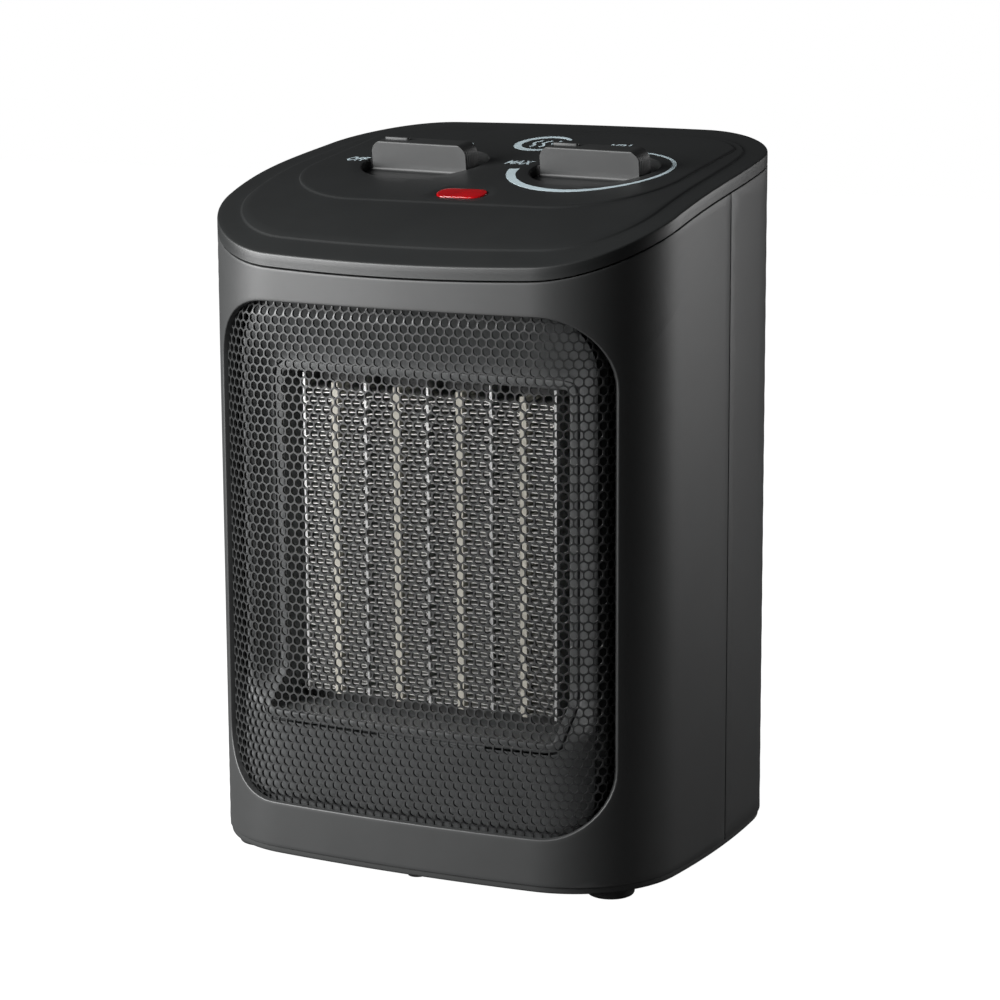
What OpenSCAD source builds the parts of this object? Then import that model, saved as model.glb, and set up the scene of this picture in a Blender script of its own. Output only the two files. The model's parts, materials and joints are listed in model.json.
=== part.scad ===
// Ceramic space heater: a free-standing fan heater with a bowed casing, a punched front grille,
// two turn knobs on a sloping top, a PTC ceramic heating block and an axial fan behind it.
// Millimetres, +Z up, the front faces -Y, the origin is on the floor under the plan centre.

/* [Casing] */
// Width of the casing across its bowed sides
case_w = 188; // [184:1:194]
// Depth of the casing from its bowed front to its bowed back
case_d = 156; // [152:1:162]
// Height of the top face above the floor at the plan centre
case_h = 254; // [250:1:260]
// Radius of the front corners in plan
front_corner = 43; // [38:1:46]
// Radius of the rear corners in plan
rear_corner = 40; // [36:1:44]
// How far the front bows out
front_bow = 6.8; // [5:0.2:8]
// How far each side bows out
side_bow = 7.4; // [6:0.2:9]
// How far the back bows out
rear_bow = 3.4; // [2.6:0.2:5]
// Thickness of the moulded walls
wall = 2.4; // [2:0.1:2.8]
// Where the front and rear shells meet, behind the plan centre
seam_y = 5.5; // [2:0.5:8]
// Height of the top cover's rim
rim_h = 4.8; // [4:0.1:5.6]

/* [Grille] */
// Width of the opening in the front shell
grille_w = 161; // [156:1:163]
// Height of the opening in the front shell
grille_h = 188; // [180:1:190]
// Height of the opening's lower edge above the floor
grille_z = 24; // [22:1:28]
// Corner radius of the opening
grille_corner = 25; // [20:1:30]
// Distance between neighbouring holes
mesh_pitch = 15; // [13:1:18]
// Width of the bars between holes
mesh_bar = 2.6; // [2:0.2:3.4]

/* [Heating block] */
// Width of the heating block
core_w = 104.2; // [100:0.2:106]
// Height of the heating block
core_h = 118; // [112:1:120]
// Depth of the heating block along the air stream
core_d = 24; // [20:1:26]
// Height of the heating block's centre, which is also the fan's axis
core_z = 121; // [119:1:123]
// Height of one fold of the corrugated fins
fold_h = 2; // [1.8:0.1:3]

/* [Fan] */
// Radius of the impeller
fan_r = 53.5; // [50:0.5:54]
// Radius of the impeller's hub
hub_r = 17; // [15:0.5:19]
// Number of blades
blades = 7; // [5:1:9]
// Radius of the motor's shaft
shaft_r = 2; // [2:0.5:2.5]

/* [Controls] */
// Half the distance between the two knobs
knob_x = 35.6; // [33:0.1:36]
// Distance of both knobs behind the plan centre
knob_y = 9.6; // [8:0.1:12]
// Distance of the point midway between the knobs to the right of the centre plane
knobs_mid = 2.2; // [0:0.1:3]
// Radius of the wells that the knobs sit in
well_r = 24.4; // [24:0.1:25]
// Radius of a knob's disc
disc_r = 23.6; // [23:0.1:23.7]
// Length of a knob's grip
grip_l = 43; // [40:1:44]
// Height of a knob's grip above its disc
grip_h = 11.3; // [9:0.1:11.4]
// Thickness of a knob's grip
grip_t = 8.8; // [7:0.2:10]
// Angle by which both grips are turned clockwise at rest
grip_turn = 5; // [0:1:12]

/* [Feet] */
// Height of the rubber feet
foot_h = 4; // [3:0.5:4]
// Radius of the rubber feet
foot_r = 8.8; // [8:0.2:10]
// Travel of the tip-over plunger
tip_travel = 5; // [3:0.5:5]

/* [Hidden] */

// Clearances: fixed neighbours, and a shaft turning in its hole
fit_gap = 0.2;
run_gap = 0.05;
// Past-the-surface length of every cutting shape
over = 1;
// Fineness of the true circles
$fn = 64;

// Segments of each arc of the plan outline
front_n = 6;
corner_n = 7;
side_n = 6;
rear_n = 4;

// The top face along the depth: z = case_h + rise u - sag u^2 + lift u^3, with u = y / 100
rise = 15.9;
sag = 10.6;
lift = 14.8;
top_n = 18;
// Two small steps of the top face, and how far inside the outline each begins
step_h = 0.5;
step_1 = 8.8;
step_2 = 12.3;
// The inner step's own front edge and its corners
deck_front = -38;
deck_corner = 36;
deck_half = 77;

// Height of the base plate's visible edge, and where the shells stand on it
base_t = 2.3;
base_inset = 0.7;
shell_z = foot_h + base_t + fit_gap;

// Depth of a well, of a knob's disc below the top face, and lengths along a knob's axis
well_deep = 6.2;
disc_deep = 2.2;
disc_t = 3;
stem_r = 5;
stem_end = 12;
spindle_r = 3;
spindle_end = 23;
switch_top = 13;

// Places along the air stream, from the core back to the motor
core_y = -53;
duct_y = -55;
duct_t = 2;
duct_win_w = 117;
duct_win_h = 126;
bulkhead_y = -5;
bulkhead_t = 2.5;
ring_r = fan_r + 2;
ring_end = 26;
strut_t = 3;
hub_y = 3;
hub_l = 20;
bracket_y = ring_end + strut_t;
bracket_t = 1.5;
bearing_r = 4.5;
bearing_l = 5;
stack_y = 38;
stack_l = 18;
stack_w = 24;
rotor_r = 12.7;
rear_bracket_y = stack_y + stack_l + 4;
shaft_end = rear_bracket_y + bearing_l + 1;
motor_screw_x = 17;
motor_screw_z = -17;
motor_screw_r = 1.6;

// Heating block: electrodes every column pair, a ceramic bar between each two
pair_w = core_w / 4 - 0.25;
electrode_t = 1;
ptc_t = 2.6;
fin_w = pair_w / 2 - electrode_t / 2 - ptc_t / 2;
crest_w = 1.8;

// Tip-over switch, in front of the duct and behind the front wall
tip_y = -64;
tip_r = 3.5;
tip_collar_z = 13;
tip_top = 34;
guide_z = tip_top - 6;
lever_x = 16;
lever_z = tip_top + 0.6;
button_x = 10;

// Hand recess moulded into the back
grip_hole_w = 90;
grip_hole_h = 30;
grip_hole_z = 207;
grip_hole_y = 52;

// Cord inlet in the back
inlet_x = 55;
inlet_z = 30;
inlet_r = 3.6;
inlet_l = 8;

// Foot places: front pair and rear pair
foot_front = [73.4, -52.5];
foot_rear = [66, 54];
boss_r = 5.5;
boss_h = 18;
boss_x = case_w / 2 - wall - boss_r + 0.3;
boss_front_y = -16;
boss_rear_y = 30;

// ---- Outline and top face -------------------------------------------------------------------

function bow_r(half, bow) = (half * half + bow * bow) / (2 * bow);
function aim(p, q) = atan2(q[1] - p[1], q[0] - p[0]);
function arc(c, r, a0, a1, n, first = 0) =
    [for (i = [first:n]) let (a = a0 + (a1 - a0) * i / n) [c[0] + r * cos(a), c[1] + r * sin(a)]];

// The point at distance a from p and b from q, to the left (side 1) or right (side -1) of pq
function meet(p, a, q, b, side) =
    let (d = norm(q - p), e = (q - p) / d, x = (d * d + a * a - b * b) / (2 * d))
    p + e * x + side * sqrt(a * a - x * x) * [-e[1], e[0]];

front_r = bow_r(case_w / 2, front_bow);
side_r = bow_r(case_d / 2, side_bow);
rear_r = bow_r(case_w / 2, rear_bow);
front_c = [0, front_r - case_d / 2];
side_c = [case_w / 2 - side_r, 0];
rear_c = [0, case_d / 2 - rear_r];
front_k = meet(front_c, front_r - front_corner, side_c, side_r - front_corner, 1);
rear_k = meet(rear_c, rear_r - rear_corner, side_c, side_r - rear_corner, -1);

// Right half of the plan outline, moved inwards by g
function half_plan(g) = concat(
    arc(front_c, front_r - g, -90, aim(front_c, front_k), front_n),
    arc(front_k, front_corner - g, aim(front_c, front_k), aim(side_c, front_k), corner_n, 1),
    arc(side_c, side_r - g, aim(side_c, front_k), aim(side_c, rear_k), side_n, 1),
    arc(rear_k, rear_corner - g, aim(side_c, rear_k), aim(rear_c, rear_k), corner_n, 1),
    arc(rear_c, rear_r - g, aim(rear_c, rear_k), 90, rear_n, 1)
);
function plan(g) =
    let (h = half_plan(g))
    concat(h, [for (i = [len(h) - 2:-1:1]) [-h[i][0], h[i][1]]]);

function top_z(y) = let (u = y / 100) case_h + rise * u - sag * u * u + lift * u * u * u;
function top_tilt(y) = let (u = y / 100) atan((rise - 2 * sag * u + 3 * lift * u * u) / 100);
function top_line(lower) =
    [for (i = [0:top_n]) let (y = (i / top_n - 0.5) * (case_d + 4)) [y, top_z(y) - lower]];

// A column of the plan outline moved inwards by g
module plan_column(g, z0, z1) {
    translate([0, 0, z0]) linear_extrude(z1 - z0) polygon(plan(g));
}

// Everything between height z0 and the top face lowered by lower
module under_top(lower, z0) {
    end = case_d / 2 + 2;
    rotate([90, 0, 90]) translate([0, 0, -case_w]) linear_extrude(2 * case_w)
        polygon(concat([[end, z0], [-end, z0]], top_line(lower)));
}

// A block between two corners
module block(low, high) {
    translate(low) cube(high - low);
}

// A rounded rectangle standing in the XZ plane, from y0 to y1
module upright(w, h, r, y0, y1) {
    q = [w / 2 - r, h / 2 - r];
    pts = concat(
        arc([q[0], q[1]], r, 0, 90, corner_n), arc([-q[0], q[1]], r, 90, 180, corner_n),
        arc([-q[0], -q[1]], r, 180, 270, corner_n), arc([q[0], -q[1]], r, 270, 360, corner_n)
    );
    translate([0, y1, 0]) rotate([90, 0, 0]) linear_extrude(y1 - y0) polygon(pts);
}

// Puts its children on the top face at x, y with their Z along the face's normal
module on_top(x, y) {
    translate([x, y, top_z(y)]) rotate([top_tilt(y), 0, 0]) children();
}

// A round bar along Y
module bar_y(r, y0, y1) {
    translate([0, y1, 0]) rotate([90, 0, 0]) cylinder(r = r, h = y1 - y0);
}

// A tube along Z
module tube(r_out, r_in, h) {
    difference() {
        cylinder(r = r_out, h = h);
        translate([0, 0, -over]) cylinder(r = r_in, h = h + 2 * over);
    }
}

far = 2 * case_w;

// ---- Casing ---------------------------------------------------------------------------------

// A half of the open casing between y0 and y1, with two screw bosses
module shell_half(y0, y1, boss_y) {
    difference() {
        intersection() {
            plan_column(0, 0, far);
            under_top(rim_h + fit_gap, shell_z);
            block([-case_w, y0, 0], [case_w, y1, far]);
        }
        plan_column(wall, 0, far);
    }
    for (s = [-1, 1]) translate([s * boss_x, boss_y, shell_z]) tube(boss_r, 1.6, boss_h);
}

module front_shell() {
    color([0.25, 0.26, 0.26]) difference() {
        shell_half(-case_d, seam_y - fit_gap / 2, boss_front_y);
        translate([0, 0, grille_z + grille_h / 2])
            upright(grille_w, grille_h, grille_corner, -case_d, -case_d / 4);
    }
}

// Air slots of the back: rows between two ribs
slot_rows = 15;
slot_pitch = 8;
slot_h = 3.4;
slot_w = 36;
slot_step = 40;

module rear_shell() {
    color([0.22, 0.23, 0.23]) difference() {
        union() {
            shell_half(seam_y + fit_gap / 2, case_d, boss_rear_y);
            intersection() {
                plan_column(0, 0, far);
                block([-grip_hole_w / 2 - wall, grip_hole_y - wall, grip_hole_z - wall],
                      [grip_hole_w / 2 + wall, case_d, grip_hole_z + grip_hole_h + wall]);
            }
        }
        block([-grip_hole_w / 2, grip_hole_y, grip_hole_z],
              [grip_hole_w / 2, case_d, grip_hole_z + grip_hole_h]);
        for (row = [0:slot_rows - 1], col = [-1:1])
            translate([col * slot_step, case_d / 2, core_z + (row - (slot_rows - 1) / 2) * slot_pitch])
                cube([slot_w, case_d / 4, slot_h], center = true);
        translate([inlet_x, 0, inlet_z]) bar_y(inlet_r + 2.4 + run_gap, case_d / 4, case_d);
    }
}

// The deck round the knobs, which is the inner step of the top face
module deck_column() {
    q = [deck_half - deck_corner, deck_front + deck_corner];
    intersection() {
        plan_column(step_2, 0, far);
        linear_extrude(far) polygon(concat(
            arc([-q[0], q[1]], deck_corner, 180, 270, corner_n),
            arc(q, deck_corner, 270, 360, corner_n),
            [[deck_half, case_d], [-deck_half, case_d]]
        ));
    }
}

// A slot outline with round ends
module stadium(length, width, h) {
    s = (length - width) / 2;
    linear_extrude(h) polygon(concat(
        arc([s, 0], width / 2, -90, 90, 12),
        arc([-s, 0], width / 2, 90, 270, 12)
    ));
}

lens_x = 2.4;
lens_y = -29.5;
lens_l = 20.8;
lens_w = 9;
lens_up = 0.6;
lens_down = 5;
skirt_t = 1.6;
skirt_h = 6;
cover_low = 150;

module top_cover() {
    color([0.17, 0.18, 0.18]) difference() {
        union() {
            difference() {
                union() {
                    intersection() {
                        plan_column(0, cover_low, far);
                        under_top(0, cover_low);
                    }
                    intersection() {
                        plan_column(step_1, cover_low, far);
                        under_top(-step_h, cover_low);
                    }
                    intersection() {
                        deck_column();
                        under_top(-2 * step_h, cover_low);
                    }
                }
                intersection() {
                    plan_column(wall, 0, far);
                    under_top(wall, 0);
                }
                under_top(rim_h, 0);
            }
            intersection() {
                difference() {
                    plan_column(wall + fit_gap, cover_low, far);
                    plan_column(wall + fit_gap + skirt_t, cover_low - over, far);
                }
                difference() {
                    under_top(wall, cover_low);
                    under_top(rim_h + skirt_h, 0);
                }
            }
            for (s = [-1, 1]) on_top(knobs_mid + s * knob_x, knob_y) {
                translate([0, 0, -well_deep - 2]) cylinder(r = well_r + 2, h = well_deep + 2);
                for (p = [-1, 1]) translate([p * 12, 0, -switch_top])
                    cylinder(r = 2.5, h = switch_top - well_deep);
            }
        }
        for (s = [-1, 1]) on_top(knobs_mid + s * knob_x, knob_y) {
            translate([0, 0, -well_deep]) cylinder(r = well_r, h = far);
            translate([0, 0, -far / 2]) cylinder(r = stem_r + 1, h = far);
        }
        on_top(lens_x, lens_y) translate([0, 0, -far / 2])
            stadium(lens_l + fit_gap, lens_w + fit_gap, far);
    }
}

module base_plate() {
    color([0.12, 0.12, 0.12]) difference() {
        union() {
            plan_column(base_inset, foot_h, foot_h + base_t);
            translate([0, tip_y, foot_h])
                cylinder(r = tip_r + 1.7, h = tip_collar_z - tip_travel - foot_h - 0.3);
        }
        for (s = [-1, 1]) {
            translate([s * foot_front[0], foot_front[1], 0]) cylinder(r = 4, h = far);
            translate([s * foot_rear[0], foot_rear[1], 0]) cylinder(r = 4, h = far);
            translate([s * boss_x, boss_front_y, 0]) cylinder(r = 1.8, h = far);
            translate([s * boss_x, boss_rear_y, 0]) cylinder(r = 1.8, h = far);
        }
        translate([0, tip_y, -over]) cylinder(r = tip_r + run_gap, h = far);
    }
}

grille_gap = 0.4;
grille_t = 2;
grille_lap = 1.6;

// Punched sheet that follows the bowed front, just behind the front wall
module front_grille() {
    rows = ceil(grille_h / (mesh_pitch * cos(30)) / 2) + 1;
    cols = ceil(grille_w / mesh_pitch / 2) + 1;
    hole_r = (mesh_pitch - mesh_bar) / 2 / cos(30);
    color([0.5, 0.51, 0.52]) difference() {
        intersection() {
            difference() {
                plan_column(wall + grille_gap, 0, far);
                plan_column(wall + grille_gap + grille_t, -over, far);
            }
            translate([0, 0, grille_z + grille_h / 2])
                upright(grille_w + 2 * grille_lap, grille_h + 2 * grille_lap, grille_corner,
                        -case_d, -case_d / 4);
        }
        intersection() {
            for (r = [-rows:rows], c = [-cols:cols])
                translate([(c + (r % 2 == 0 ? 0 : 0.5)) * mesh_pitch, 0,
                           core_z - 3 + r * mesh_pitch * cos(30)])
                    rotate([90, 30, 0]) cylinder(r = hole_r, h = case_d, $fn = 6);
            translate([0, 0, grille_z + grille_h / 2])
                upright(grille_w - 2 * grille_lap, grille_h - 2 * grille_lap, grille_corner - 2, -case_d, 0);
        }
    }
}

// ---- Heating block --------------------------------------------------------------------------

duct_wall = 2;
duct_corner = 2;
duct_half = 73;
duct_low = 15;
duct_high = 214;
// Blister in the panel that clears the tip-over switch
blister_low = [-12, -70.9, 25];
blister_high = [32, duct_y + 1, 56.6];
blister_wall = 1.4;

// Inner panel behind the grille, with the window and the sleeve that hold the heating block
module front_duct() {
    color([0.4, 0.41, 0.42]) difference() {
        union() {
            intersection() {
                plan_column(wall + grille_gap + grille_t + 0.8, 0, far);
                block([-duct_half, duct_y, duct_low], [duct_half, duct_y + duct_t, duct_high]);
            }
            block(blister_low, blister_high);
            translate([0, 0, core_z]) upright(duct_win_w + 2 * duct_wall, duct_win_h + 2 * duct_wall,
                                              duct_corner + duct_wall, duct_y, bulkhead_y);
        }
        translate([0, 0, core_z]) upright(duct_win_w, duct_win_h, duct_corner, -case_d, 0);
        block(blister_low + [blister_wall, blister_wall, -over],
              blister_high + [-blister_wall, duct_t, -blister_wall]);
        electrode_slots();
    }
}

// Rail across one end of the heating block, set back so that the block's front edge shows
rail_back = 6;
module core_rail(z0, z1) {
    intersection() {
        block([-duct_win_w / 2, core_y + rail_back, z0], [duct_win_w / 2, core_y + core_d, z1]);
        translate([0, 0, core_z]) upright(duct_win_w, duct_win_h, duct_corner, -case_d, 0);
    }
}

core_low = core_z - core_h / 2;
core_high = core_z + core_h / 2;
rail_h = (duct_win_h - core_h) / 2;

module core_top_holder() {
    color([0.15, 0.15, 0.15]) difference() {
        core_rail(core_high, core_high + rail_h);
        electrode_slots();
    }
}

// Slots above the heating block for the electrodes' tabs
tab_w = 6.3;
tab_up = 6;
tab_front = 3.2;
module electrode_slots() {
    for (i = [-2:2])
        translate([i * pair_w, core_y + core_d / 2, core_high + far / 2])
            cube([electrode_t + 2 * fit_gap, tab_w + 2 * fit_gap, far], center = true);
}

module core_bottom_holder() {
    color([0.15, 0.15, 0.15]) core_rail(core_low - rail_h, core_low);
}

module ptc_bar(i) {
    x = (i - 2.5) * pair_w;
    color([0.85, 0.83, 0.76])
        block([x - ptc_t / 2, core_y, core_low], [x + ptc_t / 2, core_y + core_d, core_high]);
}

module electrode(i) {
    x = (i - 3) * pair_w;
    color([0.8, 0.81, 0.82]) {
        block([x - electrode_t / 2, core_y, core_low], [x + electrode_t / 2, core_y + core_d, core_high]);
        block([x - electrode_t / 2, core_y + core_d / 2 - tab_w / 2, core_high - over],
              [x + electrode_t / 2, core_y + core_d / 2 + tab_w / 2, core_high + rail_h + tab_up]);
        block([x - electrode_t / 2, core_y, core_high - over],
              [x + electrode_t / 2, core_y + rail_back - over, core_high + tab_front]);
    }
}

// Corrugated strip: a zigzag between an electrode and a ceramic bar
module fin_strip(i) {
    left = i % 2 == 1
        ? ((i + 1) / 2 - 3) * pair_w + electrode_t / 2
        : (i / 2 - 2.5) * pair_w + ptc_t / 2;
    folds = floor((core_h - 1) / fold_h);
    edge = [for (k = [0:folds]) [left + (k % 2 == 0 ? 0 : fin_w - crest_w), core_low + 0.5 + k * fold_h]];
    back = [for (k = [folds:-1:0]) edge[k] + [crest_w, 0]];
    color([0.72, 0.73, 0.74]) translate([0, core_y + core_d, 0]) rotate([90, 0, 0])
        linear_extrude(core_d) polygon(concat(edge, back));
}

module thermal_cutout() {
    color([0.2, 0.2, 0.22]) translate([-pair_w / 2, 0, core_high + rail_h + duct_wall]) {
        translate([0, -40, 0]) cylinder(r = 8, h = 6);
        block([-12, -43, 0], [12, -37, 1]);
        for (s = [-1, 1]) block([s * 4 - 1.6, -40.4, 5], [s * 4 + 1.6, -39.6, 14]);
    }
}

module thermal_fuse() {
    color([0.85, 0.85, 0.8]) translate([1.5 * pair_w, 0, core_high + rail_h + duct_wall + 2]) {
        bar_y(2, -40, -29);
        bar_y(0.5, -50, -18);
    }
}

// ---- Fan and motor --------------------------------------------------------------------------

strut_count = 4;

// Bulkhead, ring round the impeller, and the struts that carry the motor
module fan_shroud() {
    color([0.1, 0.1, 0.1]) {
        difference() {
            union() {
                intersection() {
                    plan_column(wall + 0.6, 0, far);
                    block([-case_w, bulkhead_y, shell_z + 1], [case_w, bulkhead_y + bulkhead_t, 218]);
                }
                translate([0, 0, core_z]) bar_y(ring_r + 2.5, bulkhead_y, ring_end);
            }
            translate([0, 0, core_z]) bar_y(ring_r, -case_d, case_d);
        }
        translate([0, 0, core_z]) difference() {
            union() {
                bar_y(15, ring_end - 1, bracket_y);
                for (k = [0:strut_count - 1]) rotate([0, 45 + k * 360 / strut_count, 0])
                    block([10, ring_end - 1, -2.5], [ring_r + 1.5, bracket_y, 2.5]);
            }
            bar_y(8, ring_end - 2, bracket_y + over);
            motor_screw_holes(motor_screw_r);
        }
    }
}

// Blade: a slanted plate with a round tip
module blade() {
    intersection() {
        difference() {
            bar_y(fan_r, hub_y - 4, hub_y + hub_l + 4);
            bar_y(hub_r - 1, hub_y - 5, hub_y + hub_l + 5);
        }
        translate([hub_r - 2, hub_y + hub_l / 2, 0]) rotate([52, 0, 0])
            block([0, -1, -17], [fan_r, 1, 17]);
        block([0, hub_y - 1, -far], [far, hub_y + hub_l + 1, far]);
    }
}

module impeller() {
    color([0.14, 0.14, 0.15]) translate([0, 0, core_z]) difference() {
        union() {
            bar_y(hub_r, hub_y, hub_y + 3);
            difference() {
                bar_y(hub_r, hub_y, hub_y + hub_l);
                bar_y(hub_r - 2, hub_y + 1, hub_y + hub_l + over);
            }
            bar_y(5, hub_y, hub_y + hub_l - 2);
            for (k = [0:blades - 1]) rotate([0, k * 360 / blades, 0]) blade();
        }
        bar_y(shaft_r, -case_d, case_d);
    }
}

module impeller_nut() {
    color([0.8, 0.8, 0.8]) translate([0, 0, core_z]) difference() {
        translate([0, hub_y, 0]) rotate([90, 0, 0]) cylinder(r = 4, h = 3, $fn = 6);
        bar_y(shaft_r, -case_d, case_d);
    }
}

module motor_shaft() {
    color([0.75, 0.76, 0.78]) translate([0, 0, core_z]) bar_y(shaft_r, hub_y - 5, shaft_end);
}

module motor_rotor() {
    color([0.6, 0.6, 0.62]) translate([0, 0, core_z]) difference() {
        bar_y(rotor_r, stack_y, stack_y + stack_l);
        bar_y(shaft_r, 0, case_d);
    }
}

// Laminated iron: the rotor's bore below, the coil's limb on top
limb_low = 34;
limb_high = 44;
// Two holes of radius r along Y for the motor's screws
module motor_screw_holes(r) {
    for (s = [-1, 1]) translate([s * motor_screw_x, 0, motor_screw_z]) bar_y(r, 0, case_d);
}

module motor_stator() {
    color([0.45, 0.46, 0.48]) translate([0, 0, core_z]) difference() {
        block([-stack_w, stack_y, -21], [stack_w, stack_y + stack_l, limb_high]);
        block([-14, 0, 20], [14, case_d, limb_low]);
        bar_y(rotor_r + 0.4, 0, case_d);
        motor_screw_holes(motor_screw_r + run_gap);
    }
}

module limb_hole(gap) {
    block([-far, stack_y - gap, limb_low - gap], [far, stack_y + stack_l + gap, limb_high + gap]);
}

module coil_bobbin() {
    color([0.9, 0.9, 0.85]) translate([0, 0, core_z]) difference() {
        block([-13.5, stack_y - 7, limb_low - 7], [13.5, stack_y + stack_l + 7, limb_high + 7]);
        limb_hole(0.1);
        difference() {
            block([-12, 0, 0], [12, case_d, far]);
            limb_hole(1.2);
        }
    }
}

module coil_winding() {
    color([0.72, 0.4, 0.2]) translate([0, 0, core_z]) difference() {
        block([-11.9, stack_y - 6, limb_low - 6], [11.9, stack_y + stack_l + 6, limb_high + 6]);
        limb_hole(1.3);
    }
}

// Strap with a bearing seat, and two spacers down to the iron: y0 is its outer face
module bracket(y0, side) {
    y1 = y0 + side * bracket_t;
    face = side > 0 ? stack_y : stack_y + stack_l;
    translate([0, 0, core_z]) difference() {
        union() {
            block([-stack_w, min(y0, y1), motor_screw_z - 4], [stack_w, max(y0, y1), 8]);
            bar_y(bearing_r + 2, min(y0, y0 + side * bearing_l), max(y0, y0 + side * bearing_l));
            for (s = [-1, 1]) translate([s * motor_screw_x, 0, motor_screw_z])
                bar_y(3.4, min(y0, face), max(y0, face));
        }
        bar_y(bearing_r, 0, case_d);
        motor_screw_holes(motor_screw_r + run_gap);
    }
}

module motor_front_bracket() {
    color([0.7, 0.71, 0.73]) bracket(bracket_y, 1);
}

module motor_rear_bracket() {
    color([0.7, 0.71, 0.73]) bracket(rear_bracket_y + bearing_l, -1);
}

module bearing(y0) {
    color([0.7, 0.55, 0.3]) translate([0, 0, core_z]) difference() {
        bar_y(bearing_r, y0, y0 + bearing_l);
        bar_y(shaft_r + run_gap, 0, case_d);
    }
}

module motor_screws() {
    color([0.75, 0.76, 0.78]) for (s = [-1, 1])
        translate([s * motor_screw_x, 0, core_z + motor_screw_z]) {
            bar_y(motor_screw_r, ring_end - 0.5, rear_bracket_y + bearing_l);
            bar_y(3, rear_bracket_y + bearing_l, rear_bracket_y + bearing_l + 2);
        }
}

// ---- Controls -------------------------------------------------------------------------------

grip_round = 4.5;
pointer_w = 1.8;
pointer_up = 0.9;

// Knob about its own axis: disc in the well, grip across it, pointer rib on the grip's left end
module knob() {
    e = grip_l / 2 - grip_round;
    translate([0, 0, -disc_deep - disc_t]) cylinder(r = disc_r, h = disc_t);
    rotate([0, 0, -grip_turn]) {
        intersection() {
            translate([0, 0, -disc_deep - 0.5]) cylinder(r = grip_l / 2, h = grip_h + 2);
            translate([0, grip_t / 2, -disc_deep]) rotate([90, 0, 0]) linear_extrude(grip_t) polygon(concat(
                [[-grip_l / 2, -0.5], [grip_l / 2, -0.5]],
                arc([e, grip_h - grip_round], grip_round, 0, 90, corner_n),
                arc([-e, grip_h - grip_round], grip_round, 90, 180, corner_n)
            ));
        }
        block([-0.4 * grip_l, -pointer_w / 2, grip_h - disc_deep - 0.5],
              [-0.15 * grip_l, pointer_w / 2, grip_h - disc_deep + pointer_up]);
    }
    difference() {
        translate([0, 0, -stem_end]) cylinder(r = stem_r, h = stem_end - disc_deep - 1);
        translate([0, 0, -stem_end - over]) cylinder(r = spindle_r, h = stem_end - disc_deep - disc_t + over);
    }
}

module power_knob() {
    color([0.3, 0.31, 0.31]) on_top(knobs_mid - knob_x, knob_y) knob();
}

module thermostat_knob() {
    color([0.3, 0.31, 0.31]) on_top(knobs_mid + knob_x, knob_y) knob();
}

module spindle() {
    translate([0, 0, -spindle_end]) cylinder(r = spindle_r, h = spindle_end - disc_deep - disc_t);
}

module rotary_switch_shaft() {
    color([0.85, 0.85, 0.85]) on_top(knobs_mid - knob_x, knob_y) spindle();
}

module rotary_switch() {
    color([0.15, 0.15, 0.16]) on_top(knobs_mid - knob_x, knob_y) difference() {
        union() {
            block([-15, -14, -switch_top - 20], [15, 14, -switch_top]);
            for (k = [-1:1])
                block([k * 9 - 2.4, -0.4, -switch_top - 27], [k * 9 + 2.4, 0.4, -switch_top - 19]);
        }
        translate([0, 0, -spindle_end - 1]) cylinder(r = spindle_r + run_gap, h = far);
    }
}

module thermostat_spindle() {
    color([0.8, 0.8, 0.82]) on_top(knobs_mid + knob_x, knob_y) spindle();
}

module thermostat_base() {
    color([0.9, 0.88, 0.82]) on_top(knobs_mid + knob_x, knob_y) difference() {
        union() {
            block([-15, -9, -switch_top - 9], [15, 9, -switch_top]);
            block([-15, -5, -switch_top - 14], [-9, 5, -switch_top - 8]);
        }
        translate([0, 0, -far / 2]) cylinder(r = spindle_r + run_gap, h = far);
    }
}

module bimetal_blade() {
    color([0.7, 0.6, 0.4]) on_top(knobs_mid + knob_x, knob_y)
        block([-14.5, -4, -switch_top - 15], [18, 4, -switch_top - 14]);
}

module indicator_lens() {
    color([0.8, 0.05, 0.08, 0.8]) on_top(lens_x, lens_y)
        translate([0, 0, -lens_down]) stadium(lens_l, lens_w, lens_up + lens_down);
}

module neon_lamp() {
    color([0.9, 0.6, 0.4]) on_top(lens_x, lens_y) translate([-7, 0, -lens_down - 4]) rotate([0, 90, 0]) {
        cylinder(r = 2.4, h = 12);
        translate([0, 0, 12]) sphere(r = 2.4);
    }
}

module lamp_holder() {
    color([0.9, 0.9, 0.9]) on_top(lens_x, lens_y) difference() {
        block([-10, -4.5, -lens_down - 8], [10, 4.5, -lens_down]);
        block([-8, -3, -lens_down - 7], [8.5, 3, 0]);
    }
}

// ---- Tip-over switch ------------------------------------------------------------------------

module tip_plunger() {
    color([0.1, 0.1, 0.1]) translate([0, tip_y, 0]) {
        cylinder(r = tip_r, h = tip_top - 5);
        translate([0, 0, tip_collar_z]) cylinder(r = tip_r + 1.8, h = 2);
        translate([0, 0, guide_z]) cylinder(r = 1.5, h = tip_top - guide_z);
    }
}

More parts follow.
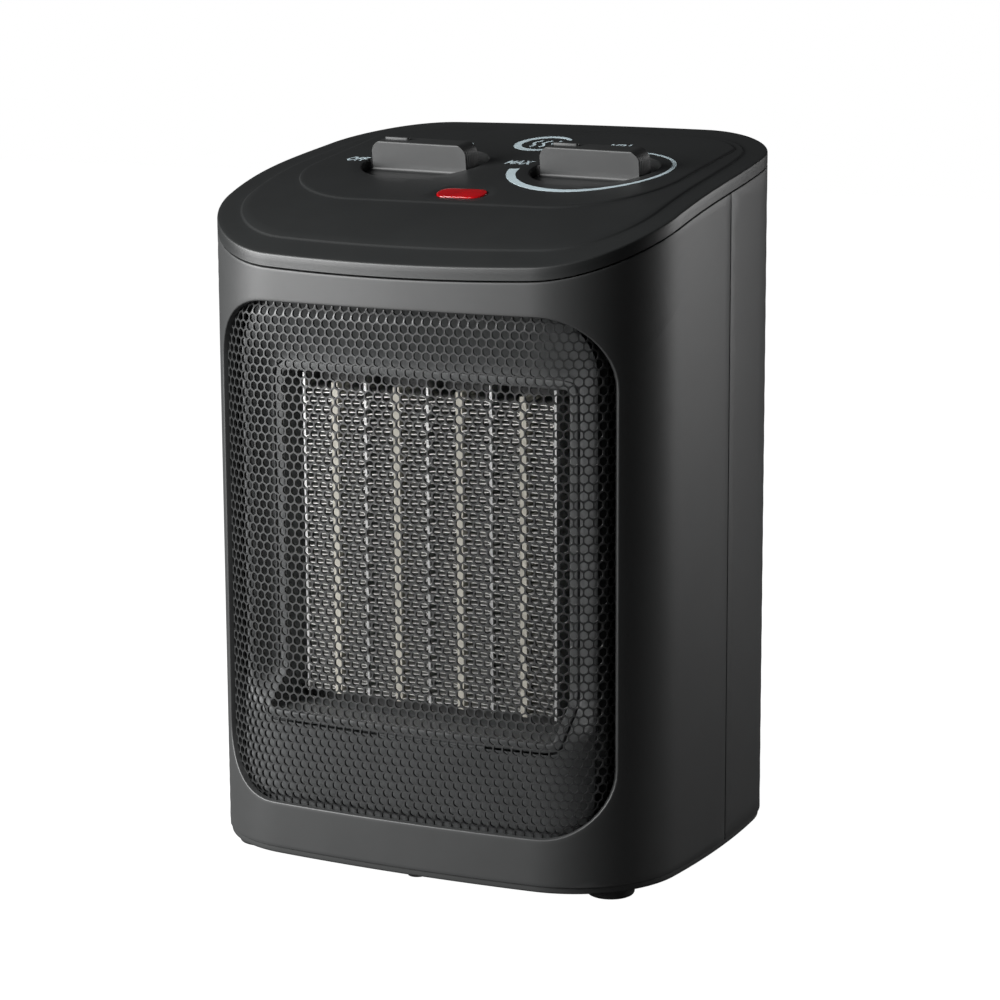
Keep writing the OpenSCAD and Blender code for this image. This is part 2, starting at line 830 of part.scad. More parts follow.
// Coil spring from the plunger's collar up to the guide
spring_r = 4.5;
spring_wire = 0.35;
spring_turns = 5;
spring_low = tip_collar_z + 2 + spring_wire;
spring_high = guide_z - spring_wire;
spring_sides = 6;
spring_steps = 14;
module plunger_spring() {
    rings = spring_turns * spring_steps;
    pts = [for (i = [0:rings], j = [0:spring_sides - 1])
        let (a = 360 * i / spring_steps, b = 360 * j / spring_sides, r = spring_r + spring_wire * cos(b))
        [r * cos(a), r * sin(a), spring_low + (spring_high - spring_low) * i / rings + spring_wire * sin(b)]];
    sides = [for (i = [0:rings - 1], j = [0:spring_sides - 1])
        let (k = (j + 1) % spring_sides)
        [i * spring_sides + j, (i + 1) * spring_sides + j, (i + 1) * spring_sides + k, i * spring_sides + k]];
    caps = [[for (j = [0:spring_sides - 1]) j],
            [for (j = [spring_sides - 1:-1:0]) rings * spring_sides + j]];
    color([0.8, 0.8, 0.82]) translate([0, tip_y, 0]) polyhedron(points = pts, faces = concat(sides, caps));
}

// Bridge over the plunger that stops the spring and carries the switch
guide_w = 5.2;
switch_z = tip_top + 2;
module plunger_guide() {
    color([0.2, 0.2, 0.2]) translate([0, tip_y, 0]) difference() {
        union() {
            block([-10, -guide_w, guide_z], [10, guide_w, guide_z + 2]);
            for (s = [-1, 1])
                block([s * 9 - 1, -guide_w, foot_h + base_t], [s * 9 + 1, guide_w, guide_z + 1]);
            block([9, -3, guide_z], [30, 3, guide_z + 2]);
            block([24, -3, guide_z], [28, 3, switch_z]);
        }
        translate([0, 0, guide_z - over]) cylinder(r = tip_r + 0.2, h = far);
    }
}

module tip_switch() {
    color([0.12, 0.12, 0.13]) translate([0, tip_y, 0]) difference() {
        union() {
            block([2, -3, switch_z], [28, 3, switch_z + 12]);
            for (k = [0:2])
                block([6 + k * 8, -1.6, switch_z + 11], [6.8 + k * 8, 1.6, switch_z + 17]);
            block([lever_x + 1.2, -3, switch_z - 3], [lever_x + 4, 3, switch_z + 1]);
        }
        block([button_x - 1.4, -1.2, switch_z - 4], [button_x + 1.4, 1.2, switch_z + 4]);
    }
}

module tip_switch_lever() {
    color([0.8, 0.8, 0.82]) translate([0, tip_y, 0]) {
        block([-1, -2, lever_z], [lever_x, 2, lever_z + 0.4]);
        translate([lever_x, 0, lever_z + 0.2]) bar_y(0.8, -2, 2);
    }
}

module tip_switch_button() {
    color([0.8, 0.2, 0.15]) translate([button_x, tip_y, 0])
        block([-1.2, -1, lever_z + 0.7], [1.2, 1, switch_z + 3]);
}

// ---- Base fittings --------------------------------------------------------------------------

module terminal_block() {
    color([0.9, 0.88, 0.84]) translate([-41, 50, foot_h + base_t]) difference() {
        block([-18, -8, 0], [18, 8, 15]);
        for (k = [-1:1]) {
            translate([k * 11, 0, 9]) cylinder(r = 2.6, h = far);
            translate([k * 11, 0, 7]) bar_y(2.2, -far, far);
        }
    }
}

// Sleeve that lines the cord's hole in the back
module cord_gland() {
    color([0.08, 0.08, 0.08]) translate([inlet_x, 0, inlet_z]) difference() {
        bar_y(inlet_r + 2.4, case_d / 2 - inlet_l, case_d / 2);
        bar_y(inlet_r, 0, case_d);
    }
}

module feet() {
    color([0.06, 0.06, 0.06]) for (s = [-1, 1], p = [foot_front, foot_rear]) translate([s * p[0], p[1], 0]) {
        cylinder(r = foot_r, h = foot_h);
        cylinder(r = 4 - 0.05, h = foot_h + base_t + 1.5);
    }
}

module base_screws() {
    color([0.7, 0.7, 0.72]) for (s = [-1, 1], y = [boss_front_y, boss_rear_y])
        translate([s * boss_x, y, 0]) {
            translate([0, 0, foot_h - 1.8]) cylinder(r = 3.2, h = 1.8);
            translate([0, 0, foot_h - over]) cylinder(r = 1.55, h = 16);
        }
}

front_shell();
rear_shell();
top_cover();
base_plate();
front_grille();
front_duct();
core_top_holder();
core_bottom_holder();
ptc_bar(1);  // ptc_bar_1
ptc_bar(2);  // ptc_bar_2
ptc_bar(3);  // ptc_bar_3
ptc_bar(4);  // ptc_bar_4
fin_strip(1);  // fin_strip_1
fin_strip(2);  // fin_strip_2
fin_strip(3);  // fin_strip_3
fin_strip(4);  // fin_strip_4
fin_strip(5);  // fin_strip_5
fin_strip(6);  // fin_strip_6
fin_strip(7);  // fin_strip_7
fin_strip(8);  // fin_strip_8
electrode(1);  // electrode_1
electrode(2);  // electrode_2
electrode(3);  // electrode_3
electrode(4);  // electrode_4
electrode(5);  // electrode_5
thermal_cutout();
thermal_fuse();
fan_shroud();
impeller();
impeller_nut();
motor_shaft();
motor_rotor();
motor_stator();
coil_bobbin();
coil_winding();
motor_front_bracket();
motor_rear_bracket();
bearing(bracket_y);  // front_bearing
bearing(rear_bracket_y);  // rear_bearing
motor_screws();
power_knob();
rotary_switch_shaft();
rotary_switch();
thermostat_knob();
thermostat_spindle();
thermostat_base();
bimetal_blade();
indicator_lens();
neon_lamp();
lamp_holder();
tip_plunger();
plunger_spring();
plunger_guide();
tip_switch();
tip_switch_lever();
tip_switch_button();
terminal_block();
cord_gland();
feet();
base_screws();
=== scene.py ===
"""Looks of the ceramic space heater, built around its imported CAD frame.

Lengths in the modelling code are millimetres in the CAD frame: +Z up, front towards -Y.
Each mesh is scaled to metres when it is made.
"""
import json
import math

import bmesh
import bpy
import numpy as np
from mathutils import Matrix, Vector
from mathutils.geometry import delaunay_2d_cdt


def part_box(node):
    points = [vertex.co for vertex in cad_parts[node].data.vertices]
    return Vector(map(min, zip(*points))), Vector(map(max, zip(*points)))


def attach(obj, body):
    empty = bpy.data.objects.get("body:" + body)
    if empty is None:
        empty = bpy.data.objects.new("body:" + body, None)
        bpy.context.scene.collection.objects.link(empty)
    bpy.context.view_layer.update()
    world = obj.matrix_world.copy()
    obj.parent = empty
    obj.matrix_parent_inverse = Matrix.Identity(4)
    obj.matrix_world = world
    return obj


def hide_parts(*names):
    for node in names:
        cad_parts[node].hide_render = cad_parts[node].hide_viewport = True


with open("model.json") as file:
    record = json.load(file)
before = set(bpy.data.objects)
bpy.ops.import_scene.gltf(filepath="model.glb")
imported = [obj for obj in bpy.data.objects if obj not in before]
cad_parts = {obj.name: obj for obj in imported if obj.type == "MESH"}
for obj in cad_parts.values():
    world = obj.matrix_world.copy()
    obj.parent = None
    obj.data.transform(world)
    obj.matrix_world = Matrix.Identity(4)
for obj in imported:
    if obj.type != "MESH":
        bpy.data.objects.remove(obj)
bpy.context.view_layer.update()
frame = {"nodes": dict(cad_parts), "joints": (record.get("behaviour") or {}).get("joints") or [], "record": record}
MM = 0.001
JOINTS = {joint["name"]: joint for joint in frame["joints"]}


def node_box(name):
    """Lowest and highest corner of a CAD node in millimetres."""
    low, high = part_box(name)
    return low / MM, high / MM


# ---- Driving dimensions, the same as the CAD part's ------------------------------------------

CASE_W = 188
CASE_D = 156
CASE_H = 254
FRONT_CORNER = 43
REAR_CORNER = 40
FRONT_BOW = 6.8
SIDE_BOW = 7.4
REAR_BOW = 3.4
WALL = 2.4
SEAM_Y = 5.5
SEAM_GAP = 0.35
RIM_H = 4.8
RISE, SAG, LIFT = 15.9, 10.6, 14.8
SHELL_Z = 6.5
STEP_H = 0.5
STEP_1 = 8.8
STEP_2 = 12.3
DECK_UP = 2 * STEP_H
DECK_FRONT = -38
DECK_HALF = 77
DECK_CORNER = 38
GRILLE_W = 161
GRILLE_H = 188
GRILLE_Z = 24
GRILLE_CORNER = 25
WELL_R = 24.4
WELL_DEEP = 6.2
DISC_R = 23.6
DISC_DEEP = 2.2
DISC_T = 3
STEM_R = 5
STEM_END = 12
GRIP_L = 43
GRIP_H = 11.3
GRIP_T = 8.8
GRIP_TURN = math.radians(5)
CORE_Z = 121


# ---- Plan outline and top face ----------------------------------------------------------------


def bow_radius(half, bow):
    return (half * half + bow * bow) / (2 * bow)


def aim(p, q):
    return math.atan2(q[1] - p[1], q[0] - p[0])


def meet(p, a, q, b, side):
    """The point at distance a from p and b from q, left (side 1) or right (side -1) of pq."""
    d = math.dist(p, q)
    e = ((q[0] - p[0]) / d, (q[1] - p[1]) / d)
    x = (d * d + a * a - b * b) / (2 * d)
    h = side * math.sqrt(a * a - x * x)
    return (p[0] + e[0] * x - e[1] * h, p[1] + e[1] * x + e[0] * h)


def half_outline():
    """Arcs (centre, radius, start, end) from the front's middle round the +X side to the back's middle."""
    front_r = bow_radius(CASE_W / 2, FRONT_BOW)
    side_r = bow_radius(CASE_D / 2, SIDE_BOW)
    rear_r = bow_radius(CASE_W / 2, REAR_BOW)
    front_c = (0, front_r - CASE_D / 2)
    side_c = (CASE_W / 2 - side_r, 0)
    rear_c = (0, CASE_D / 2 - rear_r)
    front_k = meet(front_c, front_r - FRONT_CORNER, side_c, side_r - FRONT_CORNER, 1)
    rear_k = meet(rear_c, rear_r - REAR_CORNER, side_c, side_r - REAR_CORNER, -1)
    return [
        (front_c, front_r, -math.pi / 2, aim(front_c, front_k)),
        (front_k, FRONT_CORNER, aim(front_c, front_k), aim(side_c, front_k)),
        (side_c, side_r, aim(side_c, front_k), aim(side_c, rear_k)),
        (rear_k, REAR_CORNER, aim(side_c, rear_k), aim(rear_c, rear_k)),
        (rear_c, rear_r, aim(rear_c, rear_k), math.pi / 2),
    ]


ARCS = half_outline()
HALF_LENGTH = sum(r * (a1 - a0) for _, r, a0, a1 in ARCS)


def plan_point(s, inset=0.0):
    """Plan point at arc length s from the front's middle, +X for positive s, moved inwards by inset."""
    rest = min(abs(s), HALF_LENGTH)
    for number, (c, r, a0, a1) in enumerate(ARCS):
        length = r * (a1 - a0)
        if rest <= length or number == len(ARCS) - 1:
            a = a0 + rest / r
            x = c[0] + (r - inset) * math.cos(a)
            return (math.copysign(x, s) if s else x, c[1] + (r - inset) * math.sin(a))
        rest -= length


def solve(f, low, high):
    """Where the rising function f crosses zero."""
    for _ in range(40):
        middle = (low + high) / 2
        if f(middle) < 0:
            low = middle
        else:
            high = middle
    return (low + high) / 2


SIDE_S = solve(lambda s: plan_point(s)[1], 0, HALF_LENGTH)
SEAM_S = solve(lambda s: plan_point(s)[1] - SEAM_Y, 0, HALF_LENGTH)


def front_s(x):
    """Arc length on the front half at that x."""
    return math.copysign(solve(lambda s: plan_point(s)[0] - abs(x), 0, SIDE_S), x)


def rear_t(x):
    """Arc length from the back's middle, positive towards +X, at that x."""
    return math.copysign(solve(lambda t: rear_point(t)[0] - abs(x), 0, HALF_LENGTH - SIDE_S), x)


def rear_point(t, inset=0.0):
    return plan_point(math.copysign(HALF_LENGTH - abs(t), t), inset)


def top_z(y):
    u = y / 100
    return CASE_H + RISE * u - SAG * u * u + LIFT * u * u * u


def top_tilt(y):
    u = y / 100
    return math.atan((RISE - 2 * SAG * u + 3 * LIFT * u * u) / 100)


def on_top(x, y):
    """Matrix that puts a local frame on the top face, its Z along the face's normal."""
    return Matrix.Translation((x, y, top_z(y))) @ Matrix.Rotation(top_tilt(y), 4, "X")


def place_front(s, z, depth):
    x, y = plan_point(s, depth)
    return (x, y, z)


def place_rear(t, z, depth):
    x, y = rear_point(t, depth)
    return (x, y, z)


# ---- Mesh building ------------------------------------------------------------------------------


def crossings(points, loops):
    """For each point, whether it is inside an odd number of loops."""
    inside = np.zeros(len(points), int)
    for loop in loops:
        a = np.array(loop)
        b = np.roll(a, -1, axis=0)
        for (ax, ay), (bx, by) in zip(a, b):
            if ay != by:
                hit = (ay > points[:, 1]) != (by > points[:, 1])
                inside += hit & (points[:, 0] < (bx - ax) * (points[:, 1] - ay) / (by - ay) + ax)
    return inside % 2 == 1


# delaunay_2d_cdt's kind of output: the triangles inside the outer loop, holes included
INSIDE = 1


class Net:
    """Points and faces of a mesh under construction."""

    def __init__(self):
        self.points = []
        self.faces = []

    def ring(self, points):
        first = len(self.points)
        self.points.extend(tuple(p) for p in points)
        return list(range(first, len(self.points)))

    def bridge(self, rings, closed=True):
        """Quads from each ring to the next."""
        for a, b in zip(rings, rings[1:]):
            count = len(a) if closed else len(a) - 1
            for i in range(count):
                j = (i + 1) % len(a)
                self.faces.append((a[i], a[j], b[j], b[i]))

    def cap(self, ring):
        self.faces.append(tuple(ring))

    def fill(self, rings, flat, place, step):
        """Triangles between the first ring and the others; flat holds their points in the plane,
        and place maps a point of the plane to space."""
        edge = np.array([p for loop in flat for p in loop], float)
        low, high = edge.min(0), edge.max(0)
        grid = [
            (low[0] + (i + (j % 2) / 2) * step, low[1] + j * step)
            for i in range(int((high[0] - low[0]) / step) + 1)
            for j in range(int((high[1] - low[1]) / step) + 1)
        ]
        grid = np.array(grid)
        grid = grid[crossings(grid, flat)]
        clear = [np.min(np.hypot(*(edge - p).T)) > 0.6 * step for p in grid]
        grid = grid[np.array(clear, bool)] if len(grid) else grid
        lines = []
        first = 0
        for loop in flat:
            lines += [(first + i, first + (i + 1) % len(loop)) for i in range(len(loop))]
            first += len(loop)
        everything = [Vector(p) for p in edge] + [Vector(p) for p in grid]
        made, _, triangles, source, _, _ = delaunay_2d_cdt(everything, lines, [], INSIDE, 1e-6)
        ids = [i for ring in rings for i in ring] + self.ring(place(*p) for p in grid)
        middle = np.array([[sum(made[i][k] for i in t) / 3 for k in (0, 1)] for t in triangles])
        for t, in_hole in zip(triangles, crossings(middle, flat[1:])):
            if not in_hole:
                self.faces.append(tuple(ids[source[i][0]] for i in t))

    def make(self, name, body, material, slot=None, replaces=(), smooth=35, matrix=None):
        """The piece, riding on its body."""
        mesh = bpy.data.meshes.new(name)
        mesh.from_pydata([Vector(p) * MM for p in self.points], [], self.faces)
        return finish_piece(mesh, name, body, material, replaces, smooth, matrix)


def placed(name, data):
    """A new object in the scene."""
    made = bpy.data.objects.new(name, data)
    bpy.context.scene.collection.objects.link(made)
    return made


def in_metres(matrix):
    """The same placement with its offset in metres."""
    metres = matrix.copy()
    metres.translation *= MM
    return metres


def finish_piece(mesh, name, body, material, replaces=(), smooth=35, matrix=None):
    bm = bmesh.new()
    bm.from_mesh(mesh)
    if matrix is not None:
        bmesh.ops.transform(bm, matrix=matrix, verts=bm.verts)
    bmesh.ops.remove_doubles(bm, verts=bm.verts, dist=1e-7)
    bmesh.ops.recalc_face_normals(bm, faces=bm.faces)
    bm.to_mesh(mesh)
    bm.free()
    mesh.shade_smooth()
    mesh.set_sharp_from_angle(angle=math.radians(smooth))
    piece = placed(name, mesh)
    mesh.materials.append(material)
    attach(piece, body)
    if replaces:
        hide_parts(*replaces)
    return piece


def fillet(radius, count=4):
    """(how far from the edge, how deep) of a rounded edge, from the face to the wall."""
    turns = [math.pi / 2 * i / count for i in range(count + 1)]
    return [(radius * (1 - math.sin(a)), radius * (1 - math.cos(a))) for a in turns]


def arc(cx, cy, r, a0, a1, count):
    """Points of an arc in degrees, both ends included."""
    turns = [math.radians(a0 + (a1 - a0) * i / count) for i in range(count + 1)]
    return [(cx + r * math.cos(a), cy + r * math.sin(a)) for a in turns]


def rounded_rectangle(cx, cy, w, h, r, count=8, grow=0.0):
    """Loop of a rounded rectangle, counter-clockwise, grown by an offset."""
    x, y = w / 2 - r, h / 2 - r
    loop = []
    for sx, sy, a in ((1, 1, 0), (-1, 1, 90), (-1, -1, 180), (1, -1, 270)):
        loop += arc(cx + sx * x, cy + sy * y, r + grow, a, a + 90, count)
    return loop


def spread(loop, spacing):
    """The loop with points added so that none are further apart than spacing."""
    out = []
    for p, q in zip(loop, loop[1:] + loop[:1]):
        parts = max(1, round(math.dist(p, q) / spacing))
        out += [(p[0] + (q[0] - p[0]) * k / parts, p[1] + (q[1] - p[1]) * k / parts) for k in range(parts)]
    return out


def stroke(path, width):
    """(left, right) pairs of a stroke along a path; width is a number or a function of the share."""
    pairs = []
    for i, p in enumerate(path):
        q0, q1 = path[max(0, i - 1)], path[min(len(path) - 1, i + 1)]
        d = math.dist(q0, q1)
        nx, ny = -(q1[1] - q0[1]) / d, (q1[0] - q0[0]) / d
        w = (width(i / (len(path) - 1)) if callable(width) else width) / 2
        pairs.append(((p[0] + nx * w, p[1] + ny * w), (p[0] - nx * w, p[1] - ny * w)))
    return pairs


def ray_hits(loop, centre, angles):
    """Where rays from the centre leave a loop that is star-shaped about it."""
    a = np.array(loop, float) - centre
    b = np.roll(a, -1, axis=0)
    hits = []
    for angle in angles:
        d = np.array([math.cos(angle), math.sin(angle)])
        side_a = a[:, 0] * d[1] - a[:, 1] * d[0]
        side_b = b[:, 0] * d[1] - b[:, 1] * d[0]
        for i in np.nonzero((side_a > 0) != (side_b > 0))[0]:
            p = a[i] + (b[i] - a[i]) * side_a[i] / (side_a[i] - side_b[i])
            if p @ d > 0:
                hits.append(tuple(p + centre))
                break
    return hits


def lathe(profile, count=64):
    """Net of a turned shape: profile holds (radius, height) from one end of the axis to the other."""
    net = Net()
    rings = []
    for r, z in profile:
        rings.append(net.ring([(r * math.cos(a), r * math.sin(a), z)
                               for a in (2 * math.pi * i / count for i in range(count))]))
    net.bridge(rings)
    return net, rings


def turned(name, profile, body, material, matrix, slot=None, replaces=(), count=64, capped=True):
    """A turned piece. Unless capped, its profile is a closed loop, as of a tube."""
    net, rings = lathe(profile, count)
    if capped:
        net.cap(rings[0])
        net.cap(rings[-1])
    else:
        net.bridge([rings[-1], rings[0]])
    return net.make(name, body, material, slot, replaces, matrix=in_metres(matrix))


# ---- Materials ----------------------------------------------------------------------------------


FINISHES = {}


def add_node(tree, kind, **values):
    """A new node with inputs or settings; an underscore stands for the space in an input's name."""
    new = tree.nodes.new(kind)
    for key, value in values.items():
        socket = key.replace("_", " ")
        if socket in new.inputs:
            new.inputs[socket].default_value = value
        else:
            setattr(new, key, value)
    return new


def material(name, colour, roughness, metallic=0.0, grain=400, bump=0.12, tint=0.1, wear=0.25, **sockets):
    """Principled material with mottled colour, uneven roughness, a fine grain and paler worn edges.
    It is kept in FINISHES under its name."""
    made = bpy.data.materials.new(name)
    made.use_nodes = True
    tree = made.node_tree
    shader = tree.nodes["Principled BSDF"]
    shader.inputs["Metallic"].default_value = metallic
    for socket, value in sockets.items():
        shader.inputs[socket.replace("_", " ")].default_value = value

    link = tree.links.new
    place = add_node(tree, "ShaderNodeTexCoord").outputs["Object"]
    cloud = add_node(tree, "ShaderNodeTexNoise", Scale=28, Detail=4, Roughness=0.6)
    fine = add_node(tree, "ShaderNodeTexNoise", Scale=grain * 10, Detail=3, Roughness=0.55)
    for texture in (cloud, fine):
        link(place, texture.inputs["Vector"])

    shades = add_node(tree, "ShaderNodeValToRGB")
    for end, factor in zip(shades.color_ramp.elements, (1 - tint, 1 + tint)):
        end.color = [min(1, c * factor) for c in colour] + [1]
    shades.color_ramp.elements[0].position = 0.3
    shades.color_ramp.elements[1].position = 0.7
    link(cloud.outputs["Fac"], shades.inputs["Fac"])

    edges = add_node(tree, "ShaderNodeNewGeometry")
    worn = add_node(tree, "ShaderNodeMapRange", From_Min=0.52, From_Max=0.62, To_Max=wear)
    link(edges.outputs["Pointiness"], worn.inputs["Value"])
    paler = add_node(tree, "ShaderNodeMix", data_type="RGBA")
    paler.inputs["B"].default_value = [min(1, c * 2.2 + 0.015) for c in colour] + [1]
    link(worn.outputs["Result"], paler.inputs["Factor"])
    link(shades.outputs["Color"], paler.inputs["A"])
    link(paler.outputs["Result"], shader.inputs["Base Color"])

    uneven = add_node(tree, "ShaderNodeMapRange", To_Min=max(0.02, roughness - 0.06),
                      To_Max=min(1, roughness + 0.06))
    link(fine.outputs["Fac"], uneven.inputs["Value"])
    link(uneven.outputs["Result"], shader.inputs["Roughness"])

    relief = add_node(tree, "ShaderNodeBump", Strength=bump, Distance=0.0002)
    link(fine.outputs["Fac"], relief.inputs["Height"])
    link(relief.outputs["Normal"], shader.inputs["Normal"])
    FINISHES[name] = made
    return made


material("shell_plastic", (0.036, 0.037, 0.037), 0.45)
material("cover_plastic", (0.016, 0.017, 0.017), 0.42)
material("base_plastic", (0.03, 0.031, 0.031), 0.5)
material("grille_sheet", (0.035, 0.036, 0.036), 0.36, metallic=0.3, bump=0.05)
material("duct_plastic", (0.1, 0.103, 0.104), 0.5)
material("holder_plastic", (0.02, 0.02, 0.02), 0.5)
material("ptc_ceramic", (0.5, 0.465, 0.4), 0.6, tint=0.12)
material("fin_aluminium", (0.8, 0.79, 0.77), 0.36, metallic=0.8, bump=0.05)
material("electrode_aluminium", (0.85, 0.85, 0.84), 0.3, metallic=0.8, bump=0.05)
material("cutout_plastic", (0.02, 0.02, 0.022), 0.4)
material("fuse_ceramic", (0.75, 0.74, 0.7), 0.4)
material("shroud_plastic", (0.018, 0.018, 0.018), 0.5)
material("impeller_plastic", (0.022, 0.022, 0.024), 0.4)
material("zinc_steel", (0.62, 0.63, 0.65), 0.35, metallic=1.0, bump=0.05)
material("shaft_steel", (0.6, 0.61, 0.63), 0.22, metallic=1.0, bump=0.03)
material("rotor_steel", (0.42, 0.42, 0.44), 0.4, metallic=1.0)
material("lamination_steel", (0.3, 0.31, 0.33), 0.5, metallic=1.0)
material("bobbin_plastic", (0.75, 0.74, 0.68), 0.5)
material("winding_copper", (0.6, 0.28, 0.12), 0.3, metallic=0.9, grain=900)
material("bracket_steel", (0.5, 0.51, 0.53), 0.35, metallic=1.0, bump=0.05)
material("bearing_bronze", (0.5, 0.33, 0.14), 0.4, metallic=1.0)
material("knob_plastic", (0.021, 0.022, 0.022), 0.5)
material("switch_plastic", (0.02, 0.02, 0.022), 0.45)
material("switch_shaft_plastic", (0.75, 0.75, 0.73), 0.5)
material("thermostat_ceramic", (0.75, 0.72, 0.64), 0.6)
material("bimetal", (0.6, 0.5, 0.35), 0.35, metallic=1.0)
material("lens_red", (0.42, 0.003, 0.006), 0.12, bump=0.01, tint=0.5, wear=0.0, Transmission_Weight=0.3)
material("lamp_glass", (0.9, 0.6, 0.4), 0.1, Transmission_Weight=0.6)
material("lamp_holder_plastic", (0.8, 0.8, 0.78), 0.45)
material("plunger_plastic", (0.015, 0.015, 0.015), 0.4)
material("button_plastic", (0.5, 0.03, 0.02), 0.4)
material("gland_rubber", (0.012, 0.012, 0.012), 0.7)
material("foot_rubber", (0.03, 0.03, 0.03), 0.65)
PRINT = material("print_ink", (0.5, 0.6, 0.64), 0.5, bump=0.03, wear=0.0)

for part in frame["record"]["subparts"]:
    slots = frame["nodes"][part["node"]].data.materials
    slots.clear()
    slots.append(FINISHES[part["material_slot"]])


# ---- Front shell --------------------------------------------------------------------------------

OPENING_Z = GRILLE_Z + GRILLE_H / 2
MOUTH = [0, OPENING_Z]


def opening_loop(grow):
    """Edge of the grille opening on the unrolled front, (s, z)."""
    flat = rounded_rectangle(0, OPENING_Z, GRILLE_W, GRILLE_H, GRILLE_CORNER, 12, grow)
    return [(front_s(x), z) for x, z in spread(flat, 3)]


def shell_top(y):
    return top_z(y) - RIM_H - SEAM_GAP


def shell_edge(end, point, inset):
    """Edge of a shell on its unrolled surface, from -end to end, (s, z)."""
    count = 150
    along = [-end + inset + 2 * (end - inset) * i / count for i in range(count + 1)]
    bottom = [(s, SHELL_Z + inset) for s in along]
    top = [(s, shell_top(point(s)[1]) - inset) for s in reversed(along)]
    return spread(bottom + top, 3)


def front_shell():
    edge_round = 0.4
    mouth_round = 0.5
    end = SEAM_S - SEAM_GAP / 2
    outer = shell_edge(end, plan_point, edge_round)
    at_seam = [(s, z) for s, z in outer if abs(abs(s) - end + edge_round) < 0.01]
    seam_ends = [(s, z) for s, z in at_seam if z < SHELL_Z + 1 or z > shell_top(plan_point(s)[1]) - 1]
    kept = [*opening_loop(mouth_round), outer[0], outer[-1], *seam_ends]
    angles = sorted({round(math.atan2(z - MOUTH[1], s), 5) for s, z in kept})
    angles = [a for a, b in zip(angles, angles[1:] + [10]) if b - a > 0.002]
    net = Net()

    def ring(loop, depth):
        return net.ring([place_front(s, z, depth) for s, z in ray_hits(loop, MOUTH, angles)])

    inner_face = ray_hits(opening_loop(mouth_round), MOUTH, angles)
    outer_face = ray_hits(outer, MOUTH, angles)
    rings = [ring(shell_edge(end, plan_point, 0), depth) for depth in (WALL, edge_round)]
    rings += [ring(shell_edge(end, plan_point, away), depth)
              for away, depth in fillet(edge_round, 3)[::-1][1:-1]]
    steps = 16
    for k in range(steps + 1):
        share = k / steps
        rings.append(net.ring([
            place_front(a[0] + (b[0] - a[0]) * share, a[1] + (b[1] - a[1]) * share, 0)
            for a, b in zip(outer_face, inner_face)]))
    rings += [ring(opening_loop(away), depth) for away, depth in fillet(mouth_round)[1:]]
    rings.append(ring(opening_loop(0), WALL))
    net.bridge(rings)
    back_outer = ray_hits(shell_edge(end, plan_point, 0), MOUTH, angles)
    back_inner = ray_hits(opening_loop(0), MOUTH, angles)
    back = [rings[-1]]
    for k in range(1, steps):
        share = 1 - k / steps
        back.append(net.ring([
            place_front(a[0] + (b[0] - a[0]) * share, a[1] + (b[1] - a[1]) * share, WALL)
            for a, b in zip(back_outer, back_inner)]))
    net.bridge(back + [rings[0]])
    net.make("front_shell_moulding", "casing", FINISHES["shell_plastic"], "shell_plastic", ["front_shell"])


front_shell()


# ---- Rear shell ---------------------------------------------------------------------------------

SLOT_ROWS = 15
SLOT_PITCH = 8
SLOT_H = 3.4
SLOT_W = 36
SLOT_STEP = 40
RECESS_W = 90
RECESS_H = 30
RECESS_Z = 222
RECESS_Y = 52
GLAND_R = 6.1


def rear_loop(flat):
    return [(rear_t(x), z) for x, z in flat]


